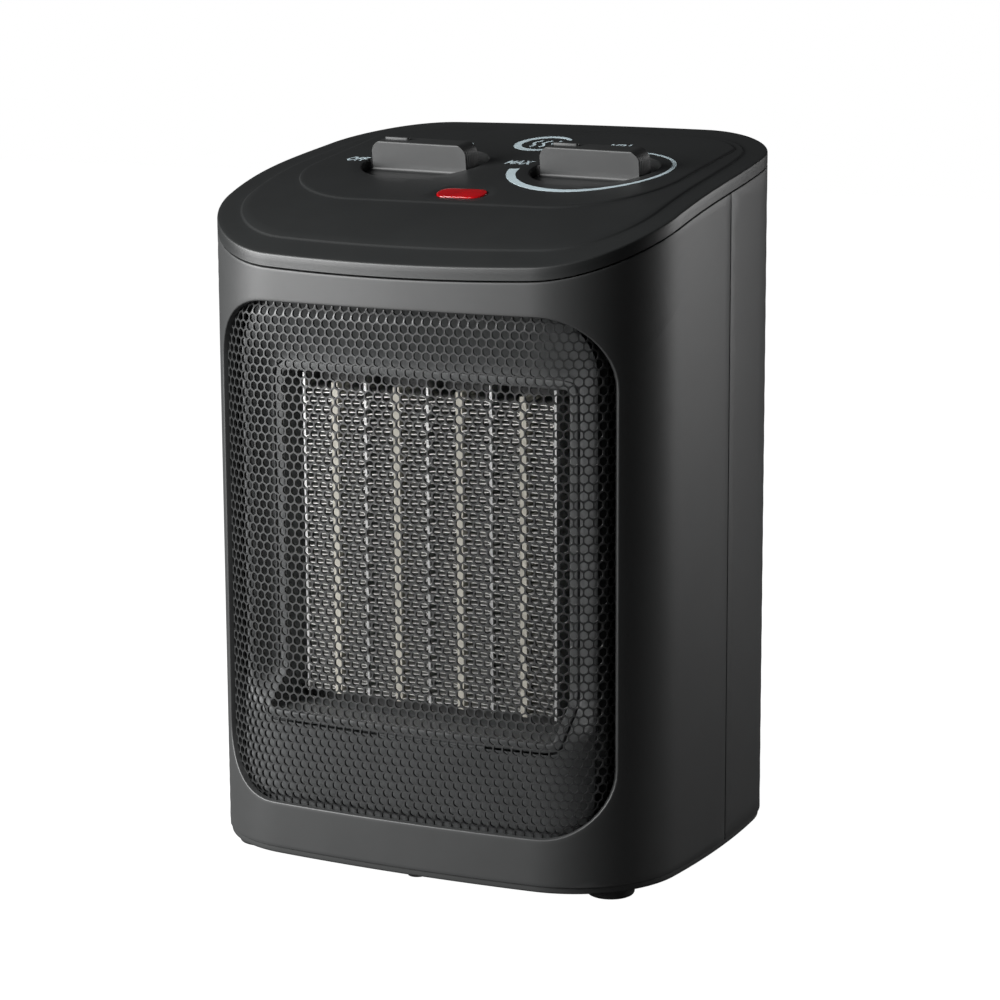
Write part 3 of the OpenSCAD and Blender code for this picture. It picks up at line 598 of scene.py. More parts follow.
def rear_shell():
    end = HALF_LENGTH - SEAM_S - SEAM_GAP / 2
    edge_round = 0.4
    hole_round = 0.6
    recess_round = 2.0
    gland = node_box("cord_gland")
    gland_x, gland_z = (gland[0].x + gland[1].x) / 2, (gland[0].z + gland[1].z) / 2
    net = Net()

    def outer_ring(inset, depth):
        loop = shell_edge(end, rear_point, inset)
        return loop, net.ring([place_rear(t, z, depth) for t, z in loop])

    def hole(shape, radius):
        """Front loop, back loop and their rings for a hole; shape(grow) gives its loop in (x, z)."""
        rings = []
        for away, depth in fillet(radius, 3) + [(0, WALL)]:
            loop = rear_loop(shape(away))
            rings.append(net.ring([place_rear(t, z, depth) for t, z in loop]))
        net.bridge(rings)
        return rear_loop(shape(radius)), rings[0], rear_loop(shape(0)), rings[-1]

    shapes = []
    for row in range(SLOT_ROWS):
        for column in (-1, 0, 1):
            z = CORE_Z + (row - (SLOT_ROWS - 1) / 2) * SLOT_PITCH
            x = column * SLOT_STEP
            shapes.append(lambda grow, x=x, z=z: spread(
                rounded_rectangle(x, z, SLOT_W, SLOT_H, SLOT_H / 2 - 0.01, 3, grow), 5))
    shapes.append(lambda grow: [
        (gland_x + (GLAND_R + grow) * math.cos(a), gland_z + (GLAND_R + grow) * math.sin(a))
        for a in (2 * math.pi * i / 32 for i in range(32))])
    holes = [hole(shape, hole_round) for shape in shapes]

    def recess(grow):
        return spread(rounded_rectangle(0, RECESS_Z, RECESS_W, RECESS_H, 7, 5, grow), 3)

    rings = [net.ring([place_rear(t, z, depth) for t, z in rear_loop(recess(away))])
             for away, depth in fillet(recess_round, 4)]
    floor_round = 3
    for away, deep in fillet(floor_round, 4)[::-1]:
        rings.append(net.ring([(x, RECESS_Y + deep, z) for x, z in recess(-away)]))
    net.bridge(rings)
    net.cap(rings[-1])
    pocket_back = recess(WALL - 0.1)
    behind = net.ring([place_rear(t, z, WALL) for t, z in rear_loop(pocket_back)])
    pocket_floor = net.ring([(x, RECESS_Y - WALL, z) for x, z in pocket_back])
    net.bridge([behind, pocket_floor])
    net.cap(pocket_floor)

    face_loop, face = outer_ring(edge_round, 0)
    rims = [outer_ring(away, depth)[1] for away, depth in fillet(edge_round, 3)[1:]]
    back_loop, back = outer_ring(0, WALL)
    net.bridge([face] + rims + [back])
    net.fill([face, rings[0]] + [h[1] for h in holes],
             [face_loop, rear_loop(recess(recess_round))] + [h[0] for h in holes],
             lambda t, z: place_rear(t, z, 0), 6)
    net.fill([back, behind] + [h[3] for h in holes],
             [back_loop, rear_loop(pocket_back)] + [h[2] for h in holes],
             lambda t, z: place_rear(t, z, WALL), 9)
    net.make("rear_shell_moulding", "casing", FINISHES["shell_plastic"], "shell_plastic", ["rear_shell"])


rear_shell()


# ---- Top cover ----------------------------------------------------------------------------------

KNOBS = {
    "power_knob": Vector(JOINTS["power_knob_turn"]["pos_m"]) / MM,
    "thermostat_knob": Vector(JOINTS["thermostat_knob_turn"]["pos_m"]) / MM,
}
LENS = [(low + high) / 2 for low, high in zip(*node_box("indicator_lens"))]
LENS_L, LENS_W = 20, 9


def outline_loop(inset, count=360):
    points = []
    for i in range(count):
        points.append(plan_point(-HALF_LENGTH + 2 * HALF_LENGTH * (i + 0.5) / count, inset))
    return points


def deck_loop(inset, angles):
    """Edge of the deck round the knobs, seen from above."""
    middle = (0, 10)
    w = 2 * DECK_HALF
    h = 2 * CASE_D
    frame_loop = spread(rounded_rectangle(0, DECK_FRONT + h / 2, w, h, DECK_CORNER, 16, -inset), 3)
    frame_hits = ray_hits(frame_loop, middle, angles)
    plan_hits = ray_hits(outline_loop(STEP_2 + inset), middle, angles)
    return [min(p, q, key=lambda r: math.dist(r, middle)) for p, q in zip(frame_hits, plan_hits)]


def on_face(loop, up):
    return [(x, y, top_z(y) + up) for x, y in loop]


def top_cover():
    rim_round = 0.6
    net = Net()
    plan = outline_loop(0)
    angles = [math.atan2(y - 10, x) for x, y in outline_loop(STEP_1)]
    rings = []
    low_lip = outline_loop(WALL)
    rings.append(net.ring(on_face(low_lip, -RIM_H)))
    rings.append(net.ring(on_face(outline_loop(0.3), -RIM_H)))
    rings.append(net.ring(on_face(plan, 0.3 - RIM_H)))
    rings.append(net.ring(on_face(plan, -RIM_H / 2)))
    rings += [net.ring(on_face(outline_loop(away), -deep)) for away, deep in fillet(rim_round, 4)[::-1]]
    for inset in (2, 4, 6, STEP_1 - 0.4):
        rings.append(net.ring(on_face(outline_loop(inset), 0)))
    rings.append(net.ring(on_face(outline_loop(STEP_1), 0.05)))
    rings.append(net.ring(on_face(outline_loop(STEP_1 + 0.35), STEP_H - 0.12)))
    rings.append(net.ring(on_face(outline_loop(STEP_1 + 0.7), STEP_H)))
    inner = outline_loop(STEP_1 + 0.7)
    deck_foot = deck_loop(-0.7, angles)
    for k in range(1, 8):
        share = k / 8
        rings.append(net.ring(on_face([
            (a[0] + (b[0] - a[0]) * share, a[1] + (b[1] - a[1]) * share)
            for a, b in zip(inner, deck_foot)], STEP_H)))
    rings.append(net.ring(on_face(deck_foot, STEP_H)))
    rings.append(net.ring(on_face(deck_loop(-0.3, angles), STEP_H + 0.05)))
    rings.append(net.ring(on_face(deck_loop(0, angles), DECK_UP - 0.12)))
    rings.append(net.ring(on_face(deck_loop(0.4, angles), DECK_UP)))
    deck_edge = deck_loop(1.6, angles)
    rings.append(net.ring(on_face(deck_edge, DECK_UP)))
    net.bridge(rings)

    def on_deck(local, shape, up):
        """Points on the face raised by up, straight along the local axis from the shape's points."""
        points = []
        for x, y in shape:
            height = 0
            for _ in range(4):
                p = local @ Vector((x, y, height))
                height += top_z(p.y) + up - p.z
            points.append(local @ Vector((x, y, height)))
        return points

    def circle(r, count=96):
        return [(r * math.cos(a), r * math.sin(a)) for a in (2 * math.pi * i / count for i in range(count))]

    tops, bottoms = [rings[-1]], []
    flat_tops, flat_bottoms = [deck_edge], []
    for spot in KNOBS.values():
        local = on_top(spot.x, spot.y)
        well_round = 0.5
        passage = [net.ring(on_deck(local, circle(WELL_R + away), DECK_UP - deep))
                   for away, deep in fillet(well_round, 3)]
        for r, z in ((WELL_R, 0.3 - WELL_DEEP), (WELL_R - 0.3, -WELL_DEEP), (STEM_R + 1, -WELL_DEEP),
                     (STEM_R + 1, -WELL_DEEP - 2), (WELL_R + 2, -WELL_DEEP - 2)):
            passage.append(net.ring([local @ Vector((x, y, z)) for x, y in circle(r)]))
        under = on_deck(local, circle(WELL_R + 2), -WALL)
        passage.append(net.ring(under))
        net.bridge(passage)
        tops.append(passage[0])
        flat_tops.append([tuple(net.points[i][:2]) for i in passage[0]])
        bottoms.append(passage[-1])
        flat_bottoms.append([tuple(p[:2]) for p in under])

    local = on_top(LENS[0], LENS[1])
    passage = []
    for grow, up in [(0.35, DECK_UP), (0.15, DECK_UP - 0.1), (0.1, DECK_UP - 0.3), (0.1, -WALL)]:
        shape = rounded_rectangle(0, 0, LENS_L, LENS_W, LENS_W / 2 - 0.01, 10, grow)
        passage.append(net.ring(on_deck(local, shape, up)))
    net.bridge(passage)
    tops.append(passage[0])
    flat_tops.append([tuple(net.points[i][:2]) for i in passage[0]])
    bottoms.append(passage[-1])
    flat_bottoms.append([tuple(net.points[i][:2]) for i in passage[-1]])

    net.fill(tops, flat_tops, lambda x, y: (x, y, top_z(y) + DECK_UP), 4)
    inside = net.ring(on_face(low_lip, -WALL))
    net.bridge([rings[0], inside])
    net.fill([inside] + bottoms, [low_lip] + flat_bottoms, lambda x, y: (x, y, top_z(y) - WALL), 8)
    net.make("top_cover_moulding", "casing", FINISHES["cover_plastic"], "cover_plastic", ["top_cover"])


top_cover()


# ---- Punched grille -----------------------------------------------------------------------------

HOLE_R = 1.55
HOLE_CORNER = 1.07
HOLE_PITCH = 3.6
SHEET_T = 1.0
SHEET_DEPTH = 0.9
ROLL_START = 4.5
ROLL_END = 0.5
LAP = 6.5
MESH_BACK = WALL + 0.45


def edge_distance(s, z, half_s):
    """Distance inwards from the edge of the opening on the unrolled front."""
    x = abs(s) - (half_s - GRILLE_CORNER)
    y = abs(z - OPENING_Z) - (GRILLE_H / 2 - GRILLE_CORNER)
    if x > 0 and y > 0:
        return GRILLE_CORNER - math.hypot(x, y)
    return GRILLE_CORNER - max(x, y)


def grille():
    half_s = front_s(GRILLE_W / 2)

    def depth(d):
        share = min(1, max(0, (ROLL_START - d) / (ROLL_START - ROLL_END)))
        smooth = share * share * (3 - 2 * share)
        return SHEET_DEPTH + (MESH_BACK - SHEET_DEPTH) * smooth

    net = Net()
    rise = HOLE_PITCH * math.sqrt(3) / 2
    corner_ids = {}

    def corner(s, z, back):
        key = (round(4 * s / HOLE_PITCH), round(6 * (z - OPENING_Z) / rise), back)
        if key not in corner_ids:
            sunk = depth(edge_distance(s, z, half_s)) + (SHEET_T if back else 0)
            corner_ids[key] = net.ring([place_front(s, z, sunk)])[0]
        return corner_ids[key]

    rows = int((GRILLE_H / 2 + LAP) / rise) + 1
    columns = int((half_s + LAP) / HOLE_PITCH) + 1
    cell_r = HOLE_PITCH / math.sqrt(3)
    turns = [math.pi / 6 * k for k in range(12)]
    for row in range(-rows, rows + 1):
        for column in range(-columns, columns + 1):
            s = (column + (row % 2) / 2) * HOLE_PITCH
            z = OPENING_Z + row * rise
            inward = edge_distance(s, z, half_s)
            if inward < -LAP:
                continue
            # Twelve points of the hexagonal cell: its corners at odd multiples of 30 degrees
            cell = []
            for k, a in enumerate(turns):
                r = cell_r if k % 2 else HOLE_PITCH / 2
                cell.append((s + r * math.cos(a), z + r * math.sin(a)))
            front = [corner(*p, False) for p in cell]
            back = [corner(*p, True) for p in cell]
            if inward < -HOLE_R:
                net.cap(front)
                net.cap(back[::-1])
                continue
            rings = []
            for sink in (0, SHEET_T):
                hole = []
                for k, a in enumerate(turns):
                    r = HOLE_R * (HOLE_CORNER if k % 2 else 1)
                    p = (s + r * math.cos(a), z + r * math.sin(a))
                    hole.append(place_front(*p, depth(edge_distance(*p, half_s)) + sink))
                rings.append(net.ring(hole))
            net.bridge([front, rings[0], rings[1], back])
    edge_faces = {}
    for face in net.faces:
        for a, b in zip(face, face[1:] + face[:1]):
            edge_faces.setdefault((min(a, b), max(a, b)), []).append((a, b))
    twin = {i: corner_ids.get((key[0], key[1], True)) for key, i in corner_ids.items() if not key[2]}
    for uses in edge_faces.values():
        if len(uses) == 1 and uses[0][0] in twin and uses[0][1] in twin:
            a, b = uses[0]
            net.faces.append((b, a, twin[a], twin[b]))
    net.make("punched_grille", "casing", FINISHES["grille_sheet"], "grille_sheet", ["front_grille"],
             smooth=50)


grille()


# ---- Heating block's window and fins ------------------------------------------------------------

WINDOW_W = 117
WINDOW_H = 126
WINDOW_R = 2
PANEL_Y = -55
RIM_OUT = 1.2
RIM_W = 3.5
FIN_PITCH = 3.2
FIN_T = 0.34
PANEL_HALF = 72.5
PANEL_LOW = 15.5
PANEL_HIGH = 213
PANEL_CORNER = 22
PANEL_INSET = 8.5
COVER_INSET = 6
COVER_TOP = 72
COVER_FULL = 58
SKIN_T = 0.8
GROOVE_W = 0.8


def cover_y(x, z, behind):
    """The y of the flush cover over the tip-over switch low down, of the panel behind it higher up."""
    over = min(1, max(0, (COVER_TOP - z) / (COVER_TOP - COVER_FULL)))
    over = over * over * (3 - 2 * over)
    return behind + (place_front(front_s(x), z, COVER_INSET)[1] - behind) * over


def panel_skin():
    """Inner panel's face: it falls back towards the window, and stays flush over the tip-over switch."""
    middle = (PANEL_LOW + PANEL_HIGH) / 2
    outer_loop = rounded_rectangle(0, middle, 2 * PANEL_HALF, PANEL_HIGH - PANEL_LOW, PANEL_CORNER, 10)
    inner_loop = rounded_rectangle(0, CORE_Z, WINDOW_W, WINDOW_H, WINDOW_R, 6, RIM_W + GROOVE_W)
    window = (0, CORE_Z)
    angles = [2 * math.pi * i / 240 - math.pi for i in range(1, 241)]
    outer = ray_hits(spread(outer_loop, 3), window, angles)
    inner = ray_hits(spread(inner_loop, 3), window, angles)
    steps = 24

    def face(x, z, share):
        smooth = share * share * (3 - 2 * share)
        slope_y = place_front(front_s(x), z, PANEL_INSET)[1]
        return cover_y(x, z, slope_y + (PANEL_Y - 1 - slope_y) * smooth)

    net = Net()
    front, back = [], []
    for k in range(steps + 1):
        share = k / steps
        level = []
        for (ax, az), (bx, bz) in zip(outer, inner):
            x, z = ax + (bx - ax) * share, az + (bz - az) * share
            level.append((x, face(x, z, share), z))
        front.append(net.ring(level))
        back.append(net.ring([(x, y + SKIN_T, z) for x, y, z in level]))
    net.bridge(front + back[::-1] + [front[0]])
    net.make("panel_skin", "casing", FINISHES["duct_plastic"], "duct_plastic")


panel_skin()


def window_rim():
    """Rounded lip round the window, level with the panel's face, a groove away from it."""
    edge = 0.6
    clearance = 0.05
    front = fillet(edge, 4)[::-1]
    front += [(RIM_W - away, deep) for away, deep in fillet(edge, 4)]
    net = Net()

    def ring(grow, y_at):
        loop = spread(rounded_rectangle(0, CORE_Z, WINDOW_W, WINDOW_H, WINDOW_R, 6), 4)
        grown = spread(rounded_rectangle(0, CORE_Z, WINDOW_W, WINDOW_H, WINDOW_R, 6, grow), 4)
        angles = [math.atan2(z - CORE_Z, x) for x, z in loop]
        return net.ring([(x, y_at(x, z), z) for x, z in ray_hits(grown, (0, CORE_Z), angles)])

    rings = [ring(clearance, lambda x, z: PANEL_Y + edge)]
    for grow, deep in front:
        rings.append(ring(clearance + grow, lambda x, z: cover_y(x, z, PANEL_Y - RIM_OUT) + deep))
    rings.append(ring(RIM_W, lambda x, z: PANEL_Y + edge))
    net.bridge(rings + [rings[0]])
    net.make("window_rim", "casing", FINISHES["duct_plastic"], "duct_plastic")


window_rim()


def fins(name):
    """One strip of sheet folded to and fro between its two bars, seen edge-on from the front."""
    low, high = node_box(name)
    folds = round((high.z - low.z) / FIN_PITCH) * 2
    step = (high.z - low.z - FIN_T) / folds
    # One fold, as shares of the way across and up: a round bend, the slanting run and the next bend
    fold = [(0.0, 0.16), (0.06, 0.34), (0.5, 0.5), (0.94, 0.66), (1.0, 0.84)]
    path = []
    for i in range(folds):
        z = low.z + FIN_T / 2 + i * step
        for across, up in fold:
            x = low.x + FIN_T / 2 + (high.x - low.x - FIN_T) * (across if i % 2 == 0 else 1 - across)
            path.append((x, z + step * up))
    net = Net()
    rings = []
    for (ax, az), (bx, bz) in stroke(path, FIN_T):
        rings.append(net.ring([(ax, low.y, az), (bx, low.y, bz), (bx, high.y, bz), (ax, high.y, az)]))
    net.bridge(rings)
    net.cap(rings[0])
    net.cap(rings[-1])
    net.make(name + "_folds", "casing", FINISHES["fin_aluminium"], "fin_aluminium", [name], smooth=30)


for number in range(1, 9):
    fins(f"fin_strip_{number}")


# ---- Knobs --------------------------------------------------------------------------------------

KNOB_EDGE = 0.6
GRIP_ROUND = 4.5
FOOT_ROUND = 1.2
RIB_DEPTH = 0.16
RIBS = 8


def grip_loop(half, end_r, pull, ribbed):
    """Grip outline seen from above: straight sides and ribbed round ends, counter-clockwise."""
    count = 48
    sweep = math.asin(min(1, half / end_r))
    right = []
    for i in range(count + 1):
        a = -sweep + 2 * sweep * i / count
        rib = ribbed * RIB_DEPTH * (1 - math.cos(2 * math.pi * RIBS * i / count)) / 2
        right.append(((end_r - rib) * math.cos(a) - pull, (end_r - rib) * math.sin(a)))
    straight = 10
    x = right[-1][0]
    top = [(x - 2 * x * k / straight, half) for k in range(1, straight)]
    return right + top + [(-px, -py) for px, py in right] + [(-px, -py) for px, py in top]


def rounded_end(z, top, radius):
    """How far a rounded top edge has pulled in at height z."""
    over = z - (top - radius)
    return radius - math.sqrt(max(0, radius * radius - over * over)) if over > 0 else 0


def knob(name, body, nodes):
    spot = KNOBS[body]
    matrix = on_top(spot.x, spot.y)
    metres = in_metres(matrix)
    top = GRIP_H - DISC_DEEP
    foot_steps, foot_spread = 5, 0.4
    net = Net()
    rings = []
    for i in range(foot_steps + 1):
        a = math.pi / 2 * i / foot_steps
        grow = FOOT_ROUND * (1 - math.sin(a))
        z = -DISC_DEEP + FOOT_ROUND * (1 - math.cos(a))
        loop = grip_loop(GRIP_T / 2 + grow, GRIP_L / 2 + grow * foot_spread, 0, i / foot_steps)
        rings.append(net.ring([(x, y, z) for x, y in loop]))
    low = -DISC_DEEP + FOOT_ROUND
    levels = [low + (top - GRIP_ROUND - low) * k / 3 for k in (1, 2, 3)]
    levels += [top - GRIP_ROUND * (1 - math.sin(a)) for a in (math.pi / 2 * k / 12 for k in range(1, 11))]
    levels += [top - KNOB_EDGE * (1 - math.sin(a)) for a in (math.pi / 2 * k / 4 for k in range(0, 5))]
    for z in sorted(levels):
        half = GRIP_T / 2 - rounded_end(z, top, KNOB_EDGE)
        pull = rounded_end(z, top, GRIP_ROUND)
        rings.append(net.ring([(x, y, z) for x, y in grip_loop(half, GRIP_L / 2, pull, 1)]))
    net.bridge(rings)
    net.cap(rings[-1])
    net.cap(rings[0])
    turn = Matrix.Rotation(-GRIP_TURN, 4, "Z")
    net.make(name + "_grip", body, FINISHES["knob_plastic"], "knob_plastic", nodes, smooth=32,
             matrix=metres @ turn)

    disc_low = -DISC_DEEP - DISC_T
    edge = 0.5
    bore = 3.1
    profile = [(0.5, -DISC_DEEP), (8, -DISC_DEEP), (16, -DISC_DEEP)]
    profile += [(DISC_R - away, -DISC_DEEP - deep) for away, deep in fillet(edge, 4)]
    profile += [(DISC_R, disc_low + 0.3), (DISC_R - 0.3, disc_low), (STEM_R + 0.5, disc_low),
                (STEM_R, disc_low - 0.5), (STEM_R, 0.3 - STEM_END), (STEM_R - 0.3, -STEM_END),
                (bore, -STEM_END), (bore, disc_low + 0.5), (0.5, disc_low + 0.5)]
    turned(name + "_disc", profile, body, FINISHES["cover_plastic"], matrix, "knob_plastic", count=128)

    pointer = Net()
    rib_w, rib_up, rib_round, rib_corner = 1.8, 1.0, 0.4, 0.8
    x0, x1 = -0.4 * GRIP_L, -0.15 * GRIP_L
    middle, length = (x0 + x1) / 2, x1 - x0
    sunk = rounded_rectangle(middle, 0, length, rib_w, rib_corner, 4)
    rib_rings = [pointer.ring([(x, y, top - 0.2) for x, y in sunk])]
    for away, deep in fillet(rib_round, 3)[::-1]:
        loop = rounded_rectangle(middle, 0, length, rib_w, rib_corner, 4, -away)
        rib_rings.append(pointer.ring([(x, y, top + rib_up - deep) for x, y in loop]))
    pointer.bridge(rib_rings)
    pointer.cap(rib_rings[0])
    pointer.cap(rib_rings[-1])
    pointer.make(name + "_pointer", body, FINISHES["knob_plastic"], "knob_plastic", matrix=metres @ turn)


knob("power_knob", "power_knob", ["power_knob"])
knob("thermostat_knob", "thermostat_knob", ["thermostat_knob"])


# ---- Indicator lens -----------------------------------------------------------------------------


def lens():
    """Clear red lens with a domed top, a flange edge and a prismatic underside."""
    metres = in_metres(on_top(LENS[0], LENS[1]))
    net = Net()
    up = DECK_UP + 0.35
    edge = 0.5
    rings = []

    def loop(grow):
        return rounded_rectangle(0, 0, LENS_L, LENS_W, LENS_W / 2 - 0.01, 12, grow)

    rings.append(net.ring([(x, y, -4) for x, y in loop(-0.8)]))
    for away, deep in fillet(edge, 4)[::-1]:
        rings.append(net.ring([(x, y, up - deep) for x, y in loop(-away)]))
    for share in (0.75, 0.5, 0.25):
        crown = up + 0.1 * (1 - share)
        rings.append(net.ring([(x * (0.5 + share / 2), y * share, crown) for x, y in loop(-edge)]))
    net.bridge(rings)
    net.cap(rings[-1])
    spine = net.ring([(x * 0.55, 0, -2.2) for x, y in loop(-0.8)])
    net.bridge([rings[0], spine])
    net.cap(spine)
    net.make("indicator_lens_clear", "casing", FINISHES["lens_red"], "lens_red", ["indicator_lens"],
             matrix=metres)


lens()


# ---- Printed marks ------------------------------------------------------------------------------

INK_LOW = DECK_UP + 0.01
INK_T = 0.05
WORD_SIZE = 8.0
WORD_NARROW = 0.6
WORDS = {"OFF": (-63.4, 10), "MAX": (4.0, 14), "MIN": (30.4, 46.4)}


def printed(name, loops_of_quads):
    """Thin ink shapes on the deck: each is a list of (left, right) point pairs along a stroke."""
    net = Net()
    for pairs in loops_of_quads:
        rings = []
        for (ax, ay), (bx, by) in pairs:
            low = [(x, y, top_z(y) + INK_LOW - 0.05) for x, y in ((ax, ay), (bx, by))]
            high = [(x, y, top_z(y) + INK_LOW + INK_T) for x, y in ((bx, by), (ax, ay))]
            rings.append(net.ring(low + high))
        net.bridge(rings)
        net.cap(rings[0])
        net.cap(rings[-1])
    return net.make(name, "casing", PRINT)


def word(text, x, y):
    """Generic setting word in narrow slanted capitals, laid on the deck."""
    curve = bpy.data.curves.new(text, "FONT")
    curve.body = text
    curve.size = WORD_SIZE
    curve.align_x = "CENTER"
    curve.align_y = "CENTER"
    curve.shear = 0.15
    curve.extrude = INK_T / 2
    curve.resolution_u = 3
    curve.offset = 0.12
    written = placed(text, curve)
    bpy.context.view_layer.update()
    mesh = bpy.data.meshes.new_from_object(written.evaluated_get(bpy.context.evaluated_depsgraph_get()))
    bpy.data.objects.remove(written)
    for vertex in mesh.vertices:
        px, py = x + vertex.co.x * WORD_NARROW, y + vertex.co.y
        vertex.co = Vector((px, py, top_z(py) + INK_LOW + vertex.co.z)) * MM
    name = "print_" + text.lower()
    mesh.name = name
    return finish_piece(mesh, name, "casing", PRINT)


def prints():
    power = KNOBS["power_knob"]
    heat = KNOBS["thermostat_knob"]
    for text, (x, y) in WORDS.items():
        word(text, x, y)
    # Tapered arc round the thermostat knob, thick at MAX and running round the front to the far side
    arc_r, thick, thin = 30.3, 4.0, 0.8
    start, end = math.radians(188), math.radians(188 + 262)
    count = 90
    path = [(heat.x - 0.5 + arc_r * math.cos(a), heat.y - 1.2 + arc_r * math.sin(a))
            for a in (start + (end - start) * i / count for i in range(count + 1))]
    printed("print_heat_arc", [stroke(path, lambda share: thick + (thin - thick) * share ** 0.7)])
    # Open ring with three rising heat waves
    ring_x, ring_y, ring_r = -0.8, 46.4, 10.5
    start, end = math.radians(40), math.radians(345)
    path = [(ring_x + ring_r * math.cos(a), ring_y + ring_r * math.sin(a))
            for a in (start + (end - start) * i / 60 for i in range(61))]
    shapes = [stroke(path, lambda share: 1.2 + 1.8 * math.sin(math.pi * share))]
    wave_pitch, wave_swing, wave_h = 4, 0.9, 10
    for k in (-1, 0, 1):
        wave = [(ring_x + wave_pitch * k + wave_swing * math.sin(2 * math.pi * i / 16),
                 ring_y - wave_h / 2 + wave_h * i / 20) for i in range(21)]
        shapes.append(stroke(wave, 1.1))
    printed("print_heat_ring", shapes)
    # Settings round the power knob: fan ring, one bar, two bars
    marks = []
    reach = WELL_R + 6.5
    for number, angle in enumerate((150, 120, 90)):
        a = math.radians(angle)
        x, y = power.x + reach * math.cos(a), power.y + 1 + reach * math.sin(a)
        if number == 0:
            marks.append(stroke([(x + 3 * math.cos(b), y + 3 * math.sin(b))
                                 for b in (2 * math.pi * i / 24 for i in range(25))], 0.9))
        else:
            for k in range(number):
                shift = (k - (number - 1) / 2) * 3
                marks.append(stroke([(x - 3.5, y + shift), (x + 3.5, y + shift)], 1.5))
    printed("print_power_marks", marks)


prints()


# ---- Base, feet and cord gland ------------------------------------------------------------------

BASE_LOW, BASE_HIGH = 4.0, 6.35
BASE_INSET = 0.7
FOOT_R = 8.8
FOOT_SPOTS = ((73.4, -52.5), (-73.4, -52.5), (66, 54), (-66, 54))


def base():
    net = Net()
    edge, hole_edge = 0.8, 0.4
    tip = node_box("tip_plunger")
    tip_y, tip_r = (tip[0].y + tip[1].y) / 2, 3.55
    boss_r, boss_top = tip_r + 1.7, 7.7
    ring_high = net.ring([(x, y, BASE_HIGH) for x, y in outline_loop(BASE_INSET)])
    rounds = [net.ring([(x, y, BASE_LOW + deep) for x, y in outline_loop(BASE_INSET + away)])
              for away, deep in fillet(edge, 4)[::-1]]
    net.bridge([ring_high] + rounds)

    def circle(r):
        return [(r * math.cos(a), tip_y + r * math.sin(a))
                for a in (2 * math.pi * i / 32 for i in range(32))]

    levels = [(tip_r + hole_edge, BASE_LOW), (tip_r, BASE_LOW + hole_edge), (tip_r, boss_top),
              (boss_r, boss_top), (boss_r, BASE_HIGH)]
    hole = [net.ring([(x, y, z) for x, y in circle(r)]) for r, z in levels]
    net.bridge(hole)
    low_loop = outline_loop(BASE_INSET + edge)
    net.fill([rounds[-1], hole[0]], [low_loop, circle(tip_r + hole_edge)], lambda x, y: (x, y, BASE_LOW), 12)
    net.fill([ring_high, hole[-1]], [outline_loop(BASE_INSET), circle(boss_r)],
             lambda x, y: (x, y, BASE_HIGH), 12)
    net.make("base_moulding", "casing", FINISHES["base_plastic"], "base_plastic", ["base_plate"])


base()


def feet():
    r = FOOT_R
    foot_top = node_box("feet")[1].z
    replaced = ["feet"]
    for number, (x, y) in enumerate(FOOT_SPOTS, 1):
        profile = [(0.4, 0.6), (r - 4, 0.6), (r - 3.4, 0.1), (r - 3, 0), (r - 1.4, 0)]
        profile += [(r - 1.4 * (1 - math.sin(a)), 1.4 * (1 - math.cos(a)))
                    for a in (math.pi / 2 * i / 5 for i in range(1, 6))]
        profile += [(r, BASE_LOW), (3.9, BASE_LOW), (3.9, foot_top), (0.4, foot_top)]
        turned(f"foot_{number}", profile, "casing", FINISHES["foot_rubber"], Matrix.Translation((x, y, 0)),
               "foot_rubber", replaced)
        replaced = []


feet()


def gland():
    low, high = node_box("cord_gland")
    x, z = (low.x + high.x) / 2, (low.z + high.z) / 2
    outer, bore, length = (high.x - low.x) / 2, 3.6, high.y - low.y
    profile = [(bore, 0.3), (bore, length - 0.5), (bore + 0.4, length - 0.1), (outer - 0.5, length - 0.1),
               (outer - 0.1, length - 0.5), (outer - 0.1, length / 2), (outer - 0.6, length / 2 - 0.6),
               (outer - 0.6, 0.3)]
    matrix = Matrix.Translation((x, low.y, z)) @ Matrix.Rotation(-math.pi / 2, 4, "X")
    turned("cord_gland_sleeve", profile, "casing", FINISHES["gland_rubber"], matrix, "gland_rubber",
           ["cord_gland"], capped=False)


gland()


# ---- Impeller -----------------------------------------------------------------------------------


